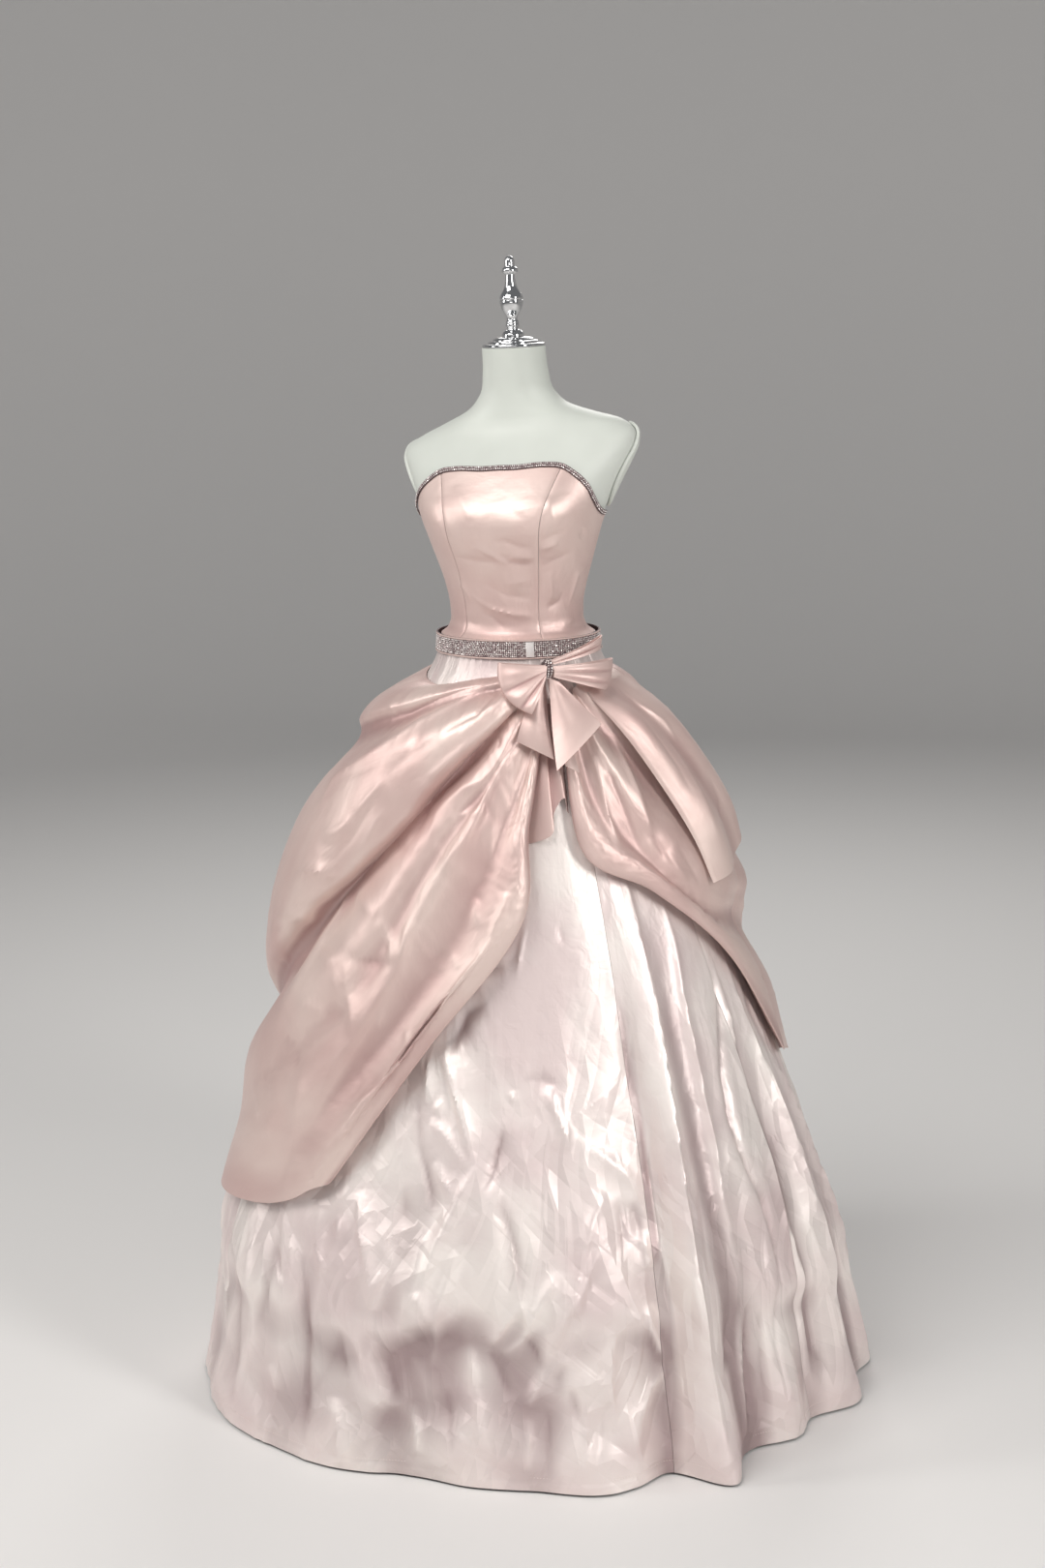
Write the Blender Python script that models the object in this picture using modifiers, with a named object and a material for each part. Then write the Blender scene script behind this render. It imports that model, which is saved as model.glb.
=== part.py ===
"""Satin ball gown with a draped overskirt, a crystal belt and a bow, standing on its dress form.

Metres, +Z up. The gown faces -Y and the wearer's left is +X. The origin is the centre of the stand's
underside. A turn is the angle round the body in degrees, 0 at centre front and +90 at the wearer's left.
"""
import math

import bmesh
import bpy
import numpy as np
from mathutils import Matrix, Vector

# Cloth and seams
CLOTH = 0.002            # wall of skirt, drapes and bodice
RIBBON = 0.0016          # wall of the bow
SEAM_GAP = 0.0005        # between two pieces sewn edge to edge
SEAT_GAP = 0.0003        # between a piece and what carries it
SIDE_SEAM_TURN = 0.13    # degrees that a drape stays clear of its side seam

# Heights of the garment
HEM_HEIGHT = 0.004
WAIST_SEAM = 1.178
BELT_BOTTOM = 1.152
BELT_TOP = 1.180
BELT_WALL = 0.0025

# Dress form and stand
NECK_TOP = 1.592
NECK_LEAN = 1.0          # degrees, cap and finial tip forward
FORM_BOTTOM = 0.880
FORM_SIDES = 32
POLE_RADIUS = 0.0125
BASE_RADIUS = 0.170
BASE_THICK = 0.014
ARM_CAP_TURN = 108.0     # its middle, a little to the back
ARM_CAP_HEIGHT = 1.412
ARM_CAP_SPREAD = (25.0, 0.054)   # degrees to each side, metres up and down

# Bow
SLIDE_TURNS = (20.3, 25.9)
BOW_TURN = 31.0
BOW_HEIGHT = 1.141
BOW_SLOPE = 0.90         # height gained for each metre up along the skirt
BOW_HANG = 0.21          # its pieces hang plumb, so they cross the flaring skirt by this share

# Body sections: height, half width, front depth, back depth, centre in Y
BODY_SECTIONS = [
    (0.880, 0.118, 0.092, 0.100, 0.000),
    (0.905, 0.140, 0.108, 0.120, 0.000),
    (0.960, 0.152, 0.112, 0.130, 0.002),
    (1.030, 0.142, 0.104, 0.118, 0.002),
    (1.100, 0.114, 0.090, 0.092, 0.000),
    (1.150, 0.097, 0.080, 0.074, -0.001),
    (1.195, 0.0935, 0.078, 0.070, -0.003),
    (1.225, 0.0950, 0.081, 0.072, -0.004),
    (1.255, 0.1015, 0.087, 0.078, -0.004),
    (1.285, 0.1110, 0.095, 0.084, -0.005),
    (1.312, 0.1195, 0.103, 0.089, -0.006),
    (1.341, 0.1290, 0.110, 0.092, -0.005),
    (1.368, 0.1405, 0.110, 0.093, 0.001),
    (1.395, 0.1530, 0.103, 0.090, 0.011),
    (1.422, 0.1665, 0.093, 0.083, 0.021),
    (1.444, 0.1750, 0.082, 0.074, 0.029),
    (1.461, 0.1720, 0.072, 0.066, 0.033),
    (1.475, 0.1510, 0.063, 0.060, 0.033),
    (1.488, 0.1160, 0.057, 0.056, 0.031),
    (1.503, 0.0790, 0.053, 0.053, 0.028),
    (1.523, 0.0570, 0.049, 0.049, 0.024),
    (1.555, 0.0480, 0.047, 0.047, 0.018),
    (1.592, 0.0460, 0.046, 0.046, 0.012),
]
# Set of the form: height, rise of its left side for each metre across
FORM_TILT = [
    (0.880, 0.0),
    (1.280, 0.0),
    (1.440, 0.052),
    (1.475, 0.085),
    (1.530, 0.045),
    (1.592, 0.020),
]
# Room between form and bodice: height, ease
BODICE_EASE = [
    (1.178, 0.0190),
    (1.184, 0.0110),
    (1.194, 0.0055),
    (1.215, 0.0035),
    (1.250, 0.0030),
    (1.300, 0.0024),
    (1.340, 0.0021),
    (1.420, 0.0019),
]
# Upper edge of the bodice: turn from centre front, height
NECKLINE = [
    (0.0, 1.4270),
    (8.0, 1.4265),
    (22.0, 1.4280),
    (32.0, 1.4245),
    (40.0, 1.4140),
    (52.0, 1.3960),
    (62.0, 1.3780),
    (72.0, 1.3635),
    (82.0, 1.3550),
    (92.0, 1.3520),
    (135.0, 1.3380),
    (180.0, 1.3320),
]
# Front princess seam: height, turn
PRINCESS_SEAM = [
    (1.178, 34.0),
    (1.240, 33.8),
    (1.310, 31.2),
    (1.360, 29.5),
    (1.420, 32.0),
]
# Skirt sections: height, half width, depth as a share of it, centre in X, centre in Y
SKIRT_SECTIONS = [
    (0.000, 0.512, 0.905, -0.020, 0.062),
    (0.100, 0.506, 0.905, -0.022, 0.058),
    (0.200, 0.488, 0.903, -0.026, 0.054),
    (0.300, 0.465, 0.896, -0.026, 0.049),
    (0.400, 0.432, 0.888, -0.022, 0.044),
    (0.500, 0.394, 0.885, -0.018, 0.038),
    (0.600, 0.352, 0.885, -0.012, 0.032),
    (0.700, 0.315, 0.878, -0.009, 0.026),
    (0.800, 0.277, 0.870, -0.007, 0.020),
    (0.900, 0.236, 0.862, -0.005, 0.014),
    (1.000, 0.193, 0.855, -0.003, 0.009),
    (1.100, 0.148, 0.850, -0.001, 0.003),
    (1.150, 0.1215, 0.848, 0.000, 0.000),
    (1.178, 0.1150, 0.848, 0.000, -0.002),
]
# Skirt folds: turn, half width in degrees, how far the hem stands out, height where the fold starts
SKIRT_FOLDS = [
    (-72.0, 12.0, 0.018, 0.40),
    (-62.0, 4.0, -0.006, 0.36),
    (-46.0, 12.0, 0.026, 0.44),
    (-38.0, 5.0, 0.004, 0.44),
    (-24.0, 7.0, 0.010, 0.44),
    (-17.0, 5.0, 0.008, 0.44),
    (-6.0, 6.0, -0.018, 0.50),
    (10.0, 6.0, -0.004, 0.50),
    (26.0, 5.0, 0.019, 0.60),
    (39.5, 3.6, -0.028, 0.90),
    (46.0, 3.3, 0.060, 0.95),
    (57.0, 5.5, -0.028, 0.88),
    (66.5, 3.6, 0.006, 0.86),
    (74.0, 4.5, -0.026, 0.80),
    (85.0, 4.2, 0.018, 0.74),
    (95.0, 4.2, -0.012, 0.66),
    (104.0, 4.2, 0.020, 0.66),
    (112.0, 4.2, -0.016, 0.66),
    (120.0, 4.2, 0.022, 0.60),
    (129.0, 4.2, -0.020, 0.60),
    (138.0, 4.2, 0.022, 0.60),
    (147.0, 4.2, -0.018, 0.60),
    (155.0, 4.2, 0.022, 0.60),
    (163.0, 4.2, -0.014, 0.60),
    (171.0, 4.2, 0.018, 0.60),
    (180.0, 4.2, -0.020, 0.60),
    (-171.0, 4.2, 0.018, 0.56),
    (-163.0, 4.2, -0.016, 0.52),
    (-155.0, 4.2, 0.022, 0.50),
    (-147.0, 4.2, -0.018, 0.48),
    (-140.0, 4.2, 0.020, 0.46),
    (-132.0, 4.2, -0.020, 0.42),
    (-123.0, 4.2, 0.020, 0.40),
    (-114.0, 4.2, -0.016, 0.36),
    (-104.0, 4.2, 0.016, 0.34),
    (-92.0, 4.2, -0.022, 0.32),
]
# Skirt gores: name, first turn, last turn, columns
SKIRT_GORES = [
    ("skirt_front", -57.0, 39.5, 20),
    ("skirt_side_front_left", 39.5, 74.0, 13),
    ("skirt_side_back_left", 74.0, 129.0, 14),
    ("skirt_back_left", 129.0, 180.0, 12),
    ("skirt_back_right", 180.0, 228.0, 12),
    ("skirt_side_back_right", 228.0, 268.0, 10),
    ("skirt_side_front_right", 268.0, 303.0, 9),
]
# Heights of the rows of the skirt's mesh
SKIRT_ROWS = [HEM_HEIGHT, 0.09, 0.18, 0.29, 0.42, 0.57, 0.73, 0.90, 1.06, 1.150, 1.1765]

# Drapes: one row for each fold, from the waist edge to the free edge. A row has the turn, the height and
# the millimetres off the skirt at five stations along the fold.
DRAPE_RIGHT_FRONT = {
    "waist edge": [(24, 1.125, 3.3), (2, 1.129, 3.3), (-20, 1.118, 3.3),
        (-48, 1.112, 4), (-95, 1.128, 4.2)],
    "shelf": [(24, 1.122, 9), (3, 1.129, 14), (-20, 1.119, 20), (-50, 1.103, 44), (-95, 1.070, 62)],
    "hip crest": [(24, 1.118, 12), (5, 1.123, 24), (-20, 1.110, 38), (-51, 1.078, 64), (-95, 1.030, 75)],
    "hip valley": [(24, 1.115, 13), (5, 1.113, 22), (-18, 1.090, 36), (-49, 1.050, 56), (-95, 0.985, 64)],
    "main crest": [(24, 1.111, 14), (8, 1.104, 40), (-14, 1.058, 70),
        (-45, 0.995, 96), (-95, 0.860, 107)],
    "main belly": [(24, 1.108, 14), (8, 1.088, 40), (-14, 1.010, 68),
        (-46, 0.890, 101), (-95, 0.720, 106)],
    "puff lip": [(24, 1.105, 14), (8, 1.074, 32), (-16, 0.970, 52), (-51, 0.780, 79), (-95, 0.592, 77)],
    "long crease": [(24, 1.101, 14), (5, 1.062, 18), (-22, 0.938, 30),
        (-54, 0.732, 38), (-95, 0.532, 34)],
    "belly crest": [(24, 1.098, 14), (7, 1.042, 34), (-15, 0.905, 50),
        (-41, 0.690, 57), (-95, 0.440, 48)],
    "side valley": [(24.5, 1.095, 14), (7, 1.010, 38), (-12, 0.868, 46),
        (-34, 0.640, 46), (-95, 0.300, 16)],
    "lower crest": [(24.7, 1.092, 14), (5, 0.975, 46), (-9, 0.838, 52),
        (-25, 0.640, 50), (-66, 0.318, 24)],
    "lower valley": [(25, 1.088, 13), (9, 0.925, 30), (-3, 0.780, 34),
        (-20, 0.600, 34), (-45, 0.345, 20)],
    "hem crest": [(25.2, 1.085, 13), (13, 0.930, 36), (5, 0.785, 42),
        (-12.5, 0.606, 42), (-34, 0.372, 24)],
    "edge crest": [(25.5, 1.081, 13), (16, 0.940, 40), (12, 0.812, 46),
        (-8.5, 0.638, 44), (-28, 0.400, 26)],
    "free edge": [(26.3, 1.077, 12), (18, 0.930, 30), (15.5, 0.803, 31),
        (-6.5, 0.622, 29), (-24.5, 0.412, 18)],
    "turned under": [(26.2, 1.073, 8), (17, 0.942, 15), (12, 0.826, 14),
        (-10, 0.646, 13), (-25, 0.420, 9)],
}
DRAPE_LEFT_LOWER = {
    "waist edge": [(52, 1.123, 2.8), (62, 1.124, 2.8), (75, 1.125, 2.8),
        (88, 1.126, 2.8), (100, 1.128, 2.8)],
    "shelf": [(50, 1.118, 9), (62, 1.112, 13), (75, 1.105, 17), (88, 1.098, 20), (100, 1.090, 24)],
    "first crest": [(48, 1.113, 12), (60, 1.080, 24), (74, 1.045, 31), (88, 1.012, 35), (100, 0.990, 36)],
    "first valley": [(46, 1.108, 8), (57, 1.035, 18), (70, 0.970, 26), (86, 0.915, 40), (100, 0.885, 46)],
    "second crest": [(44, 1.102, 14), (51, 1.005, 36), (63, 0.915, 40),
        (80, 0.850, 46), (100, 0.805, 48)],
    "second lip": [(43, 1.099, 12), (48, 0.985, 30), (60, 0.885, 36), (78, 0.808, 36), (100, 0.768, 30)],
    "second valley": [(40, 1.095, 9), (43, 0.960, 20), (57, 0.865, 26),
        (77, 0.775, 22), (100, 0.730, 14)],
    "edge crest": [(37.5, 1.088, 15), (37.5, 0.925, 31), (56, 0.850, 34),
        (79, 0.745, 30), (100, 0.645, 26)],
    "free edge": [(35, 1.077, 11), (34.3, 0.893, 22), (56, 0.822, 24), (81, 0.705, 20), (100, 0.530, 17)],
    "turned under": [(37.5, 1.081, 5), (37.5, 0.908, 10), (60, 0.838, 11),
        (84, 0.725, 9), (98, 0.566, 10)],
}
DRAPE_LEFT_UPPER = {
    "inner edge": [(52, 1.104, 18), (60, 1.045, 42), (69, 0.965, 48), (74, 0.890, 54), (77, 0.820, 50)],
    "first crest": [(58, 1.108, 19), (68, 1.058, 54), (77, 0.975, 68), (82, 0.900, 76), (84, 0.830, 66)],
    "valley": [(67, 1.112, 18), (78, 1.060, 50), (87, 0.980, 66), (91, 0.915, 73), (93, 0.846, 65)],
    "second crest": [(78, 1.116, 22), (89, 1.060, 62), (97, 0.982, 80),
        (101, 0.918, 86), (103, 0.862, 78)],
    "outer edge": [(92, 1.116, 22), (101, 1.060, 54), (108, 0.985, 72),
        (112, 0.922, 78), (114, 0.876, 70)],
}
# The overskirt's back: the same folds, from the side seams to the centre back
DRAPE_BACK_LEFT = {
    "waist edge": [(100, 1.128, 3.4), (120, 1.129, 3.4), (140, 1.129, 3.4),
        (160, 1.129, 3.4), (180, 1.129, 3.4)],
    "shelf": [(100, 1.090, 24), (120, 1.090, 30), (140, 1.092, 40), (160, 1.094, 50), (180, 1.094, 55)],
    "first crest": [(100, 0.990, 36), (120, 0.986, 46), (140, 0.984, 70),
        (160, 0.984, 90), (180, 0.985, 98)],
    "first valley": [(100, 0.885, 46), (120, 0.882, 50), (140, 0.880, 64),
        (160, 0.879, 76), (180, 0.880, 80)],
    "second crest": [(100, 0.805, 48), (120, 0.785, 68), (140, 0.768, 86),
        (160, 0.757, 96), (180, 0.755, 100)],
    "second lip": [(100, 0.768, 30), (120, 0.735, 46), (140, 0.700, 58),
        (160, 0.670, 66), (180, 0.660, 70)],
    "second valley": [(100, 0.730, 14), (120, 0.690, 26), (140, 0.650, 36),
        (160, 0.620, 42), (180, 0.610, 44)],
    "edge crest": [(100, 0.645, 26), (120, 0.598, 40), (140, 0.555, 46),
        (160, 0.522, 49), (180, 0.510, 50)],
    "free edge": [(100, 0.530, 17), (120, 0.488, 22), (140, 0.440, 24),
        (160, 0.400, 24), (180, 0.385, 24)],
}
DRAPE_BACK_RIGHT = {
    "waist edge": [(-95, 1.128, 3.4), (-116, 1.129, 3.4), (-138, 1.129, 3.4),
        (-159, 1.129, 3.4), (-180, 1.129, 3.4)],
    "shelf": [(-95, 1.070, 62), (-116, 1.080, 60), (-138, 1.088, 58),
        (-159, 1.092, 56), (-180, 1.094, 55)],
    "hip crest": [(-95, 1.030, 75), (-116, 1.034, 80), (-138, 1.040, 83),
        (-159, 1.046, 84), (-180, 1.048, 83)],
    "first crest": [(-95, 0.985, 64), (-116, 0.990, 78), (-138, 0.990, 90),
        (-159, 0.987, 96), (-180, 0.985, 98)],
    "first valley": [(-95, 0.860, 107), (-116, 0.868, 90), (-138, 0.874, 84),
        (-159, 0.878, 81), (-180, 0.880, 80)],
    "second crest": [(-95, 0.720, 106), (-116, 0.722, 102), (-138, 0.732, 102),
        (-159, 0.748, 101), (-180, 0.755, 100)],
    "second lip": [(-95, 0.592, 77), (-116, 0.600, 70), (-138, 0.618, 70),
        (-159, 0.645, 70), (-180, 0.660, 70)],
    "second valley": [(-95, 0.532, 34), (-116, 0.540, 38), (-138, 0.562, 42),
        (-159, 0.592, 44), (-180, 0.610, 44)],
    "edge crest": [(-95, 0.440, 48), (-116, 0.436, 48), (-138, 0.456, 49),
        (-159, 0.490, 50), (-180, 0.510, 50)],
    "free edge": [(-95, 0.300, 16), (-116, 0.298, 18), (-138, 0.320, 22),
        (-159, 0.362, 24), (-180, 0.385, 24)],
}
# The gathered jabot between the two front drapes, fold by fold from the right to the left of the gown
JABOT = {
    "right edge": [(23, 1.090, 1.9), (20, 1.040, 4), (17.5, 0.990, 5), (16.5, 0.945, 5), (16, 0.898, 5)],
    "first crest": [(27, 1.090, 1.9), (26, 1.045, 8), (25.5, 1.000, 14),
        (25.3, 0.955, 15), (25.3, 0.913, 14)],
    "deep fold": [(29, 1.090, 1.9), (28, 1.050, 5), (27.3, 1.012, 7),
        (27.1, 0.980, 9), (27.1, 0.943, 11)],
    "second crest": [(31, 1.090, 1.9), (30.5, 1.055, 7), (30.5, 1.022, 14),
        (30.8, 0.992, 16), (31.3, 0.962, 14)],
    "left edge": [(33.5, 1.090, 1.9), (33.5, 1.045, 4), (33.4, 1.005, 6),
        (33, 0.975, 7), (32.6, 0.940, 7)],
}

# Bow, in metres from the knot: across, up. Root and tip corners, then the distance off the skirt
BOW_LOOPS = {
    "bow_loop_right": {"root": [(-.0053, .008), (-.0053, -.009)], "tip": [(-.073, .014), (-.022, -.064)],
                       "lift": .0435, "puff": .013, "pleats": 2, "bulge": .016},
    "bow_loop_left": {"root": [(.0063, .005), (.0063, -.010)], "tip": [(.112, .007), (.092, -.037)],
                      "lift": .040, "puff": .013, "pleats": 2, "bulge": .004},
    "bow_loop_upper": {"root": [(.0030, .0150), (.0048, .0088)], "tip": [(.087, .046), (.083, .024)],
                       "lift": .038, "puff": .010, "pleats": 0, "bulge": .002},
}
# Tails: the distance off the skirt is given at the root, at a quarter of the length and at the end
BOW_TAILS = {
    "bow_tail_right": {"root": [(-.0105, -.0143), (-.0005, -.0145)], "end": [(-.038, -.104), (.0155, -.133)],
                       "lift": (.026, .0215, .045)},
    "bow_tail_front": {"root": [(.001, -.0113), (.016, -.0182)], "end": [(.018, -.148), (.079, -.083)],
                       "lift": (.038, .036, .056)},
    "bow_tail_left": {"root": [(.0010, -.0137), (.010, -.0160)], "end": [(.032, -.143), (.053, -.155)],
                      "lift": (.028, .026, .048)},
}
KNOT_SIZE = (0.013, 0.028, 0.0474)
KNOT_MIDDLE = 0.0247     # off the skirt, so that its back is sewn to the yoke

# Finial: height over the neck, radius
CAP_PROFILE = [
    (.0000, .0455), (.0028, .0460), (.0045, .0435), (.0050, .0370),
    (.0080, .0358), (.0090, .0300), (.0118, .0275), (.0140, .0180),
]
FINIAL_PROFILE = [
    (.0145, .0162), (.0180, .0160), (.0205, .0142), (.0235, .0112),
    (.0245, .0088), (.0265, .0086), (.0285, .0097), (.0315, .0099),
    (.0355, .0092), (.0380, .0079), (.0410, .0080), (.0450, .0096),
    (.0500, .0126), (.0550, .0150), (.0610, .0167), (.0655, .0169),
    (.0668, .0163), (.0680, .0170), (.0705, .0170), (.0730, .0162),
    (.0765, .0138), (.0810, .0110), (.0865, .0089), (.0940, .0075),
    (.1025, .0067), (.1040, .0085), (.1060, .0112), (.1085, .0117),
    (.1110, .0110), (.1130, .0085), (.1150, .0075), (.1220, .0074),
    (.1260, .0060), (.1285, .0030),
]

SATIN = ("satin", "#E3C3C4", 0.32, 0.0)
SKIRT_SATIN = ("skirt_satin", "#E9D9DC", 0.34, 0.0)
CRYSTAL = ("crystal_trim", "#CDBFC1", 0.18, 0.6)
FORM_WHITE = ("form_white", "#EDF0EA", 0.55, 0.0)
CHROME = ("chrome", "#D8D9DB", 0.08, 1.0)
STAND_STEEL = ("stand_steel", "#C9CACC", 0.30, 1.0)


def linear(hex_colour):
    """Turn an sRGB hex colour into linear RGBA."""
    channels = [int(hex_colour[i:i + 2], 16) / 255 for i in (1, 3, 5)]
    return [c / 12.92 if c <= 0.04045 else ((c + 0.055) / 1.055) ** 2.4 for c in channels] + [1.0]


def material(finish):
    name, colour, roughness, metallic = finish
    made = bpy.data.materials.get(name)
    if made is None:
        made = bpy.data.materials.new(name)
        made.use_nodes = True
        shader = made.node_tree.nodes["Principled BSDF"]
        shader.inputs["Base Color"].default_value = linear(colour)
        shader.inputs["Roughness"].default_value = roughness
        shader.inputs["Metallic"].default_value = metallic
    return made


def smooth(table, x):
    """Read every other column of a table at x in its first column, on a smooth curve through the rows."""
    rows = np.array(table, dtype=float)
    keys = rows[:, 0]
    values = rows[:, 1:]
    slopes = np.gradient(values, keys, axis=0)
    x = min(max(x, keys[0]), keys[-1])
    i = min(int(np.searchsorted(keys, x, side="right")) - 1, len(keys) - 2)
    i = max(i, 0)
    span = keys[i + 1] - keys[i]
    s = (x - keys[i]) / span
    return ((2 * s**3 - 3 * s**2 + 1) * values[i] + (s**3 - 2 * s**2 + s) * span * slopes[i]
            + (3 * s**2 - 2 * s**3) * values[i + 1] + (s**3 - s**2) * span * slopes[i + 1])


def through(values, s):
    """Point at share s of a smooth curve through evenly spaced values."""
    steps = len(values) - 1
    i = min(int(s * steps), steps - 1)
    f = s * steps - i
    before = values[i - 1] if i > 0 else 2 * values[0] - values[1]
    after = values[i + 2] if i + 2 <= steps else 2 * values[-1] - values[-2]
    return 0.5 * (2 * values[i] + (values[i + 1] - before) * f
                  + (2 * before - 5 * values[i] + 4 * values[i + 1] - after) * f**2
                  + (3 * values[i] - before - 3 * values[i + 1] + after) * f**3)


def bell(x):
    return math.exp(-0.5 * x * x)


def turn_gap(a, b):
    """Difference of two turns, between -180 and 180."""
    return (a - b + 180.0) % 360.0 - 180.0


def form_tilt(height):
    heights, rises = zip(*FORM_TILT)
    return float(np.interp(height, heights, rises))


def body_point(turn, height, off=0.0):
    """A point of the form, with a soft general bust, moved out by off."""
    width, front, back, centre = smooth(BODY_SECTIONS, height)
    angle = math.radians(turn)
    depth = front if math.cos(angle) > 0 else back
    bust = 0.010 * bell((abs(turn_gap(turn, 0.0)) - 34.0) / 19.0) * bell((height - 1.356) / 0.036)
    off += bust
    x = (width + off) * math.sin(angle)
    return (x, centre - (depth + off) * math.cos(angle), height + form_tilt(height) * x)


def skirt_fold(turn, height):
    """How far the skirt's folds stand out at a point."""
    out = 0.0
    for at, wide, hem, start in SKIRT_FOLDS:
        if height < start:
            away = turn_gap(turn, at)
            if abs(away) < 4 * wide:
                out += hem * ((start - height) / start) ** 1.5 * bell(away / wide)
    return out


def skirt_point(turn, height, off=0.0, folded=False):
    """A point of the skirt's outer face, moved out by off."""
    width, share, centre_x, centre_y = smooth(SKIRT_SECTIONS, height)
    angle = math.radians(turn)
    if folded:
        off += skirt_fold(turn, height)
    x = centre_x + (width + off) * math.sin(angle)
    y = centre_y - (width * share + off) * math.cos(angle)
    return (x, y, height)


def bow_point(across, up, off):
    """A point of the bow, laid round the skirt from the knot."""
    height = BOW_HEIGHT + BOW_SLOPE * up
    radius = 0.93 * smooth(SKIRT_SECTIONS, height)[0] + off
    across += BOW_HANG * up
    return skirt_point(BOW_TURN + math.degrees(across / radius), height, off)


def link(obj, finish, parts):
    obj.data.materials.clear()
    obj.data.materials.append(material(finish))
    parts.objects.link(obj)
    return obj


def make_object(name, bm, finish, parts):
    mesh = bpy.data.meshes.new(name)
    bm.to_mesh(mesh)
    bm.free()
    mesh.shade_smooth()
    mesh.set_sharp_from_angle(angle=math.radians(50))
    return link(bpy.data.objects.new(name, mesh), finish, parts)


def cloth(name, place, columns, rows, finish, parts, wall=CLOTH, axis=(0.0, 0.0)):
    """A wall of cloth on an open grid: place(u, v) gives the outer face, and the wall lies inside it."""
    bm = bmesh.new()
    bmesh.ops.create_grid(bm, x_segments=columns, y_segments=rows, size=1.0)
    for vert in bm.verts:
        vert.co = place((vert.co.x + 1) / 2, (vert.co.y + 1) / 2)
    bm.normal_update()
    outward = 0.0
    for face in bm.faces:
        middle = face.calc_center_median()
        outward += face.normal.x * (middle.x - axis[0]) + face.normal.y * (middle.y - axis[1])
    if outward < 0:
        bmesh.ops.reverse_faces(bm, faces=bm.faces)
    obj = make_object(name, bm, finish, parts)
    solid = obj.modifiers.new("wall", "SOLIDIFY")
    solid.thickness = wall
    solid.offset = -1.0
    return obj


def drape(name, folds, columns, rows, parts, seams=()):
    """A draped piece lofted over its table of folds. Stations in seams are seam edges, kept a gap apart."""
    table = np.array(list(folds.values()), dtype=float)
    low = -360.0
    high = 360.0
    for end in seams:
        if table[0, end, 0] < table[0, 2, 0]:
            low = table[0, end, 0] + SIDE_SEAM_TURN
        else:
            high = table[0, end, 0] - SIDE_SEAM_TURN

    def place(u, v):
        line = [through(row, u) for row in table]
        turn, height, off = through(line, v)
        return skirt_point(min(max(turn, low), high), height, off / 1000)

    return cloth(name, place, columns, rows, SATIN, parts)


def turned(name, profile, sides, finish, parts, lean=0.0, tilt=0.0, foot=(0.0, 0.0, 0.0)):
    """A turned piece: its profile spun about its own axis, then leant forward and tilted on its foot."""
    bm = bmesh.new()
    points = [(radius, height) for height, radius in profile]
    points = [(0.0, profile[0][0])] + points + [(0.0, profile[-1][0])]
    verts = [bm.verts.new((radius, 0.0, height)) for radius, height in points]
    edges = [bm.edges.new(pair) for pair in zip(verts, verts[1:])]
    bmesh.ops.spin(bm, geom=verts + edges, axis=(0, 0, 1), cent=(0, 0, 0), angle=math.tau, steps=sides,
                   use_merge=True)
    bmesh.ops.remove_doubles(bm, verts=bm.verts, dist=1e-6)
    bmesh.ops.recalc_face_normals(bm, faces=bm.faces)
    turn = Matrix.Rotation(-math.atan(tilt), 4, "Y") @ Matrix.Rotation(math.radians(lean), 4, "X")
    bm.transform(Matrix.Translation(foot) @ turn)
    return make_object(name, bm, finish, parts)


def make_form(parts):
    """Smooth limbless torso with a leaning neck, closed at the top and at the hip."""
    heights = [row[0] for row in BODY_SECTIONS]
    sides = FORM_SIDES
    bm = bmesh.new()
    rings = []
    for height in heights:
        tip = math.tan(math.radians(NECK_LEAN)) * min(max((height - 1.525) / (NECK_TOP - 1.525), 0.0), 1.0)
        centre = smooth(BODY_SECTIONS, height)[3]
        ring = []
        for step in range(sides):
            x, y, z = body_point(360.0 * step / sides, height)
            ring.append(bm.verts.new((x, y, z + tip * (y - centre))))
        rings.append(ring)
    for lower, upper in zip(rings, rings[1:]):
        for step in range(sides):
            after = (step + 1) % sides
            bm.faces.new((lower[step], lower[after], upper[after], upper[step]))
    bm.faces.new(rings[0][::-1])
    bm.faces.new(rings[-1])
    bmesh.ops.recalc_face_normals(bm, faces=bm.faces)
    make_object("form_torso", bm, FORM_WHITE, parts)


def arm_cap_point(side, share, angle, off):
    """A point of an armhole plate: share of its way out to the rim, off the shoulder along its normal."""
    wide, tall = ARM_CAP_SPREAD
    turn = ARM_CAP_TURN + wide * share * math.cos(angle)
    height = ARM_CAP_HEIGHT + tall * share * math.sin(angle)
    here, beside, above = (Vector(body_point(side * (turn + a), height + b))
                           for a, b in ((0.0, 0.0), (1.0, 0.0), (0.0, 0.001)))
    out = (beside - here).cross(above - here) * side
    return here + out.normalized() * off


def make_arm_caps(parts):
    """Oval plates over the form's armholes, following the shoulder close to it."""
    close = 0.0009
    rings = [(0.35, close), (0.62, close), (0.80, close), (0.91, close), (0.98, close),
             (1.0, 0.0016), (1.0, 0.0042), (0.965, 0.0054), (0.87, 0.0056), (0.74, 0.0058),
             (0.55, 0.0060), (0.30, 0.0060)]
    sides = 28
    for name, side in (("form_arm_cap_left", 1), ("form_arm_cap_right", -1)):
        bm = bmesh.new()
        made = [[bm.verts.new(arm_cap_point(side, share, math.tau * step / sides, off))
                 for step in range(sides)] for share, off in rings]
        for near, far in zip(made, made[1:]):
            for step in range(sides):
                after = (step + 1) % sides
                bm.faces.new((near[step], near[after], far[after], far[step]))
        for ring, off in ((made[0], close), (made[-1], 0.0060)):
            middle = bm.verts.new(arm_cap_point(side, 0.0, 0.0, off))
            for step in range(sides):
                bm.faces.new((ring[step], ring[(step + 1) % sides], middle))
        bmesh.ops.recalc_face_normals(bm, faces=bm.faces)
        make_object(name, bm, FORM_WHITE, parts)


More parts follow.
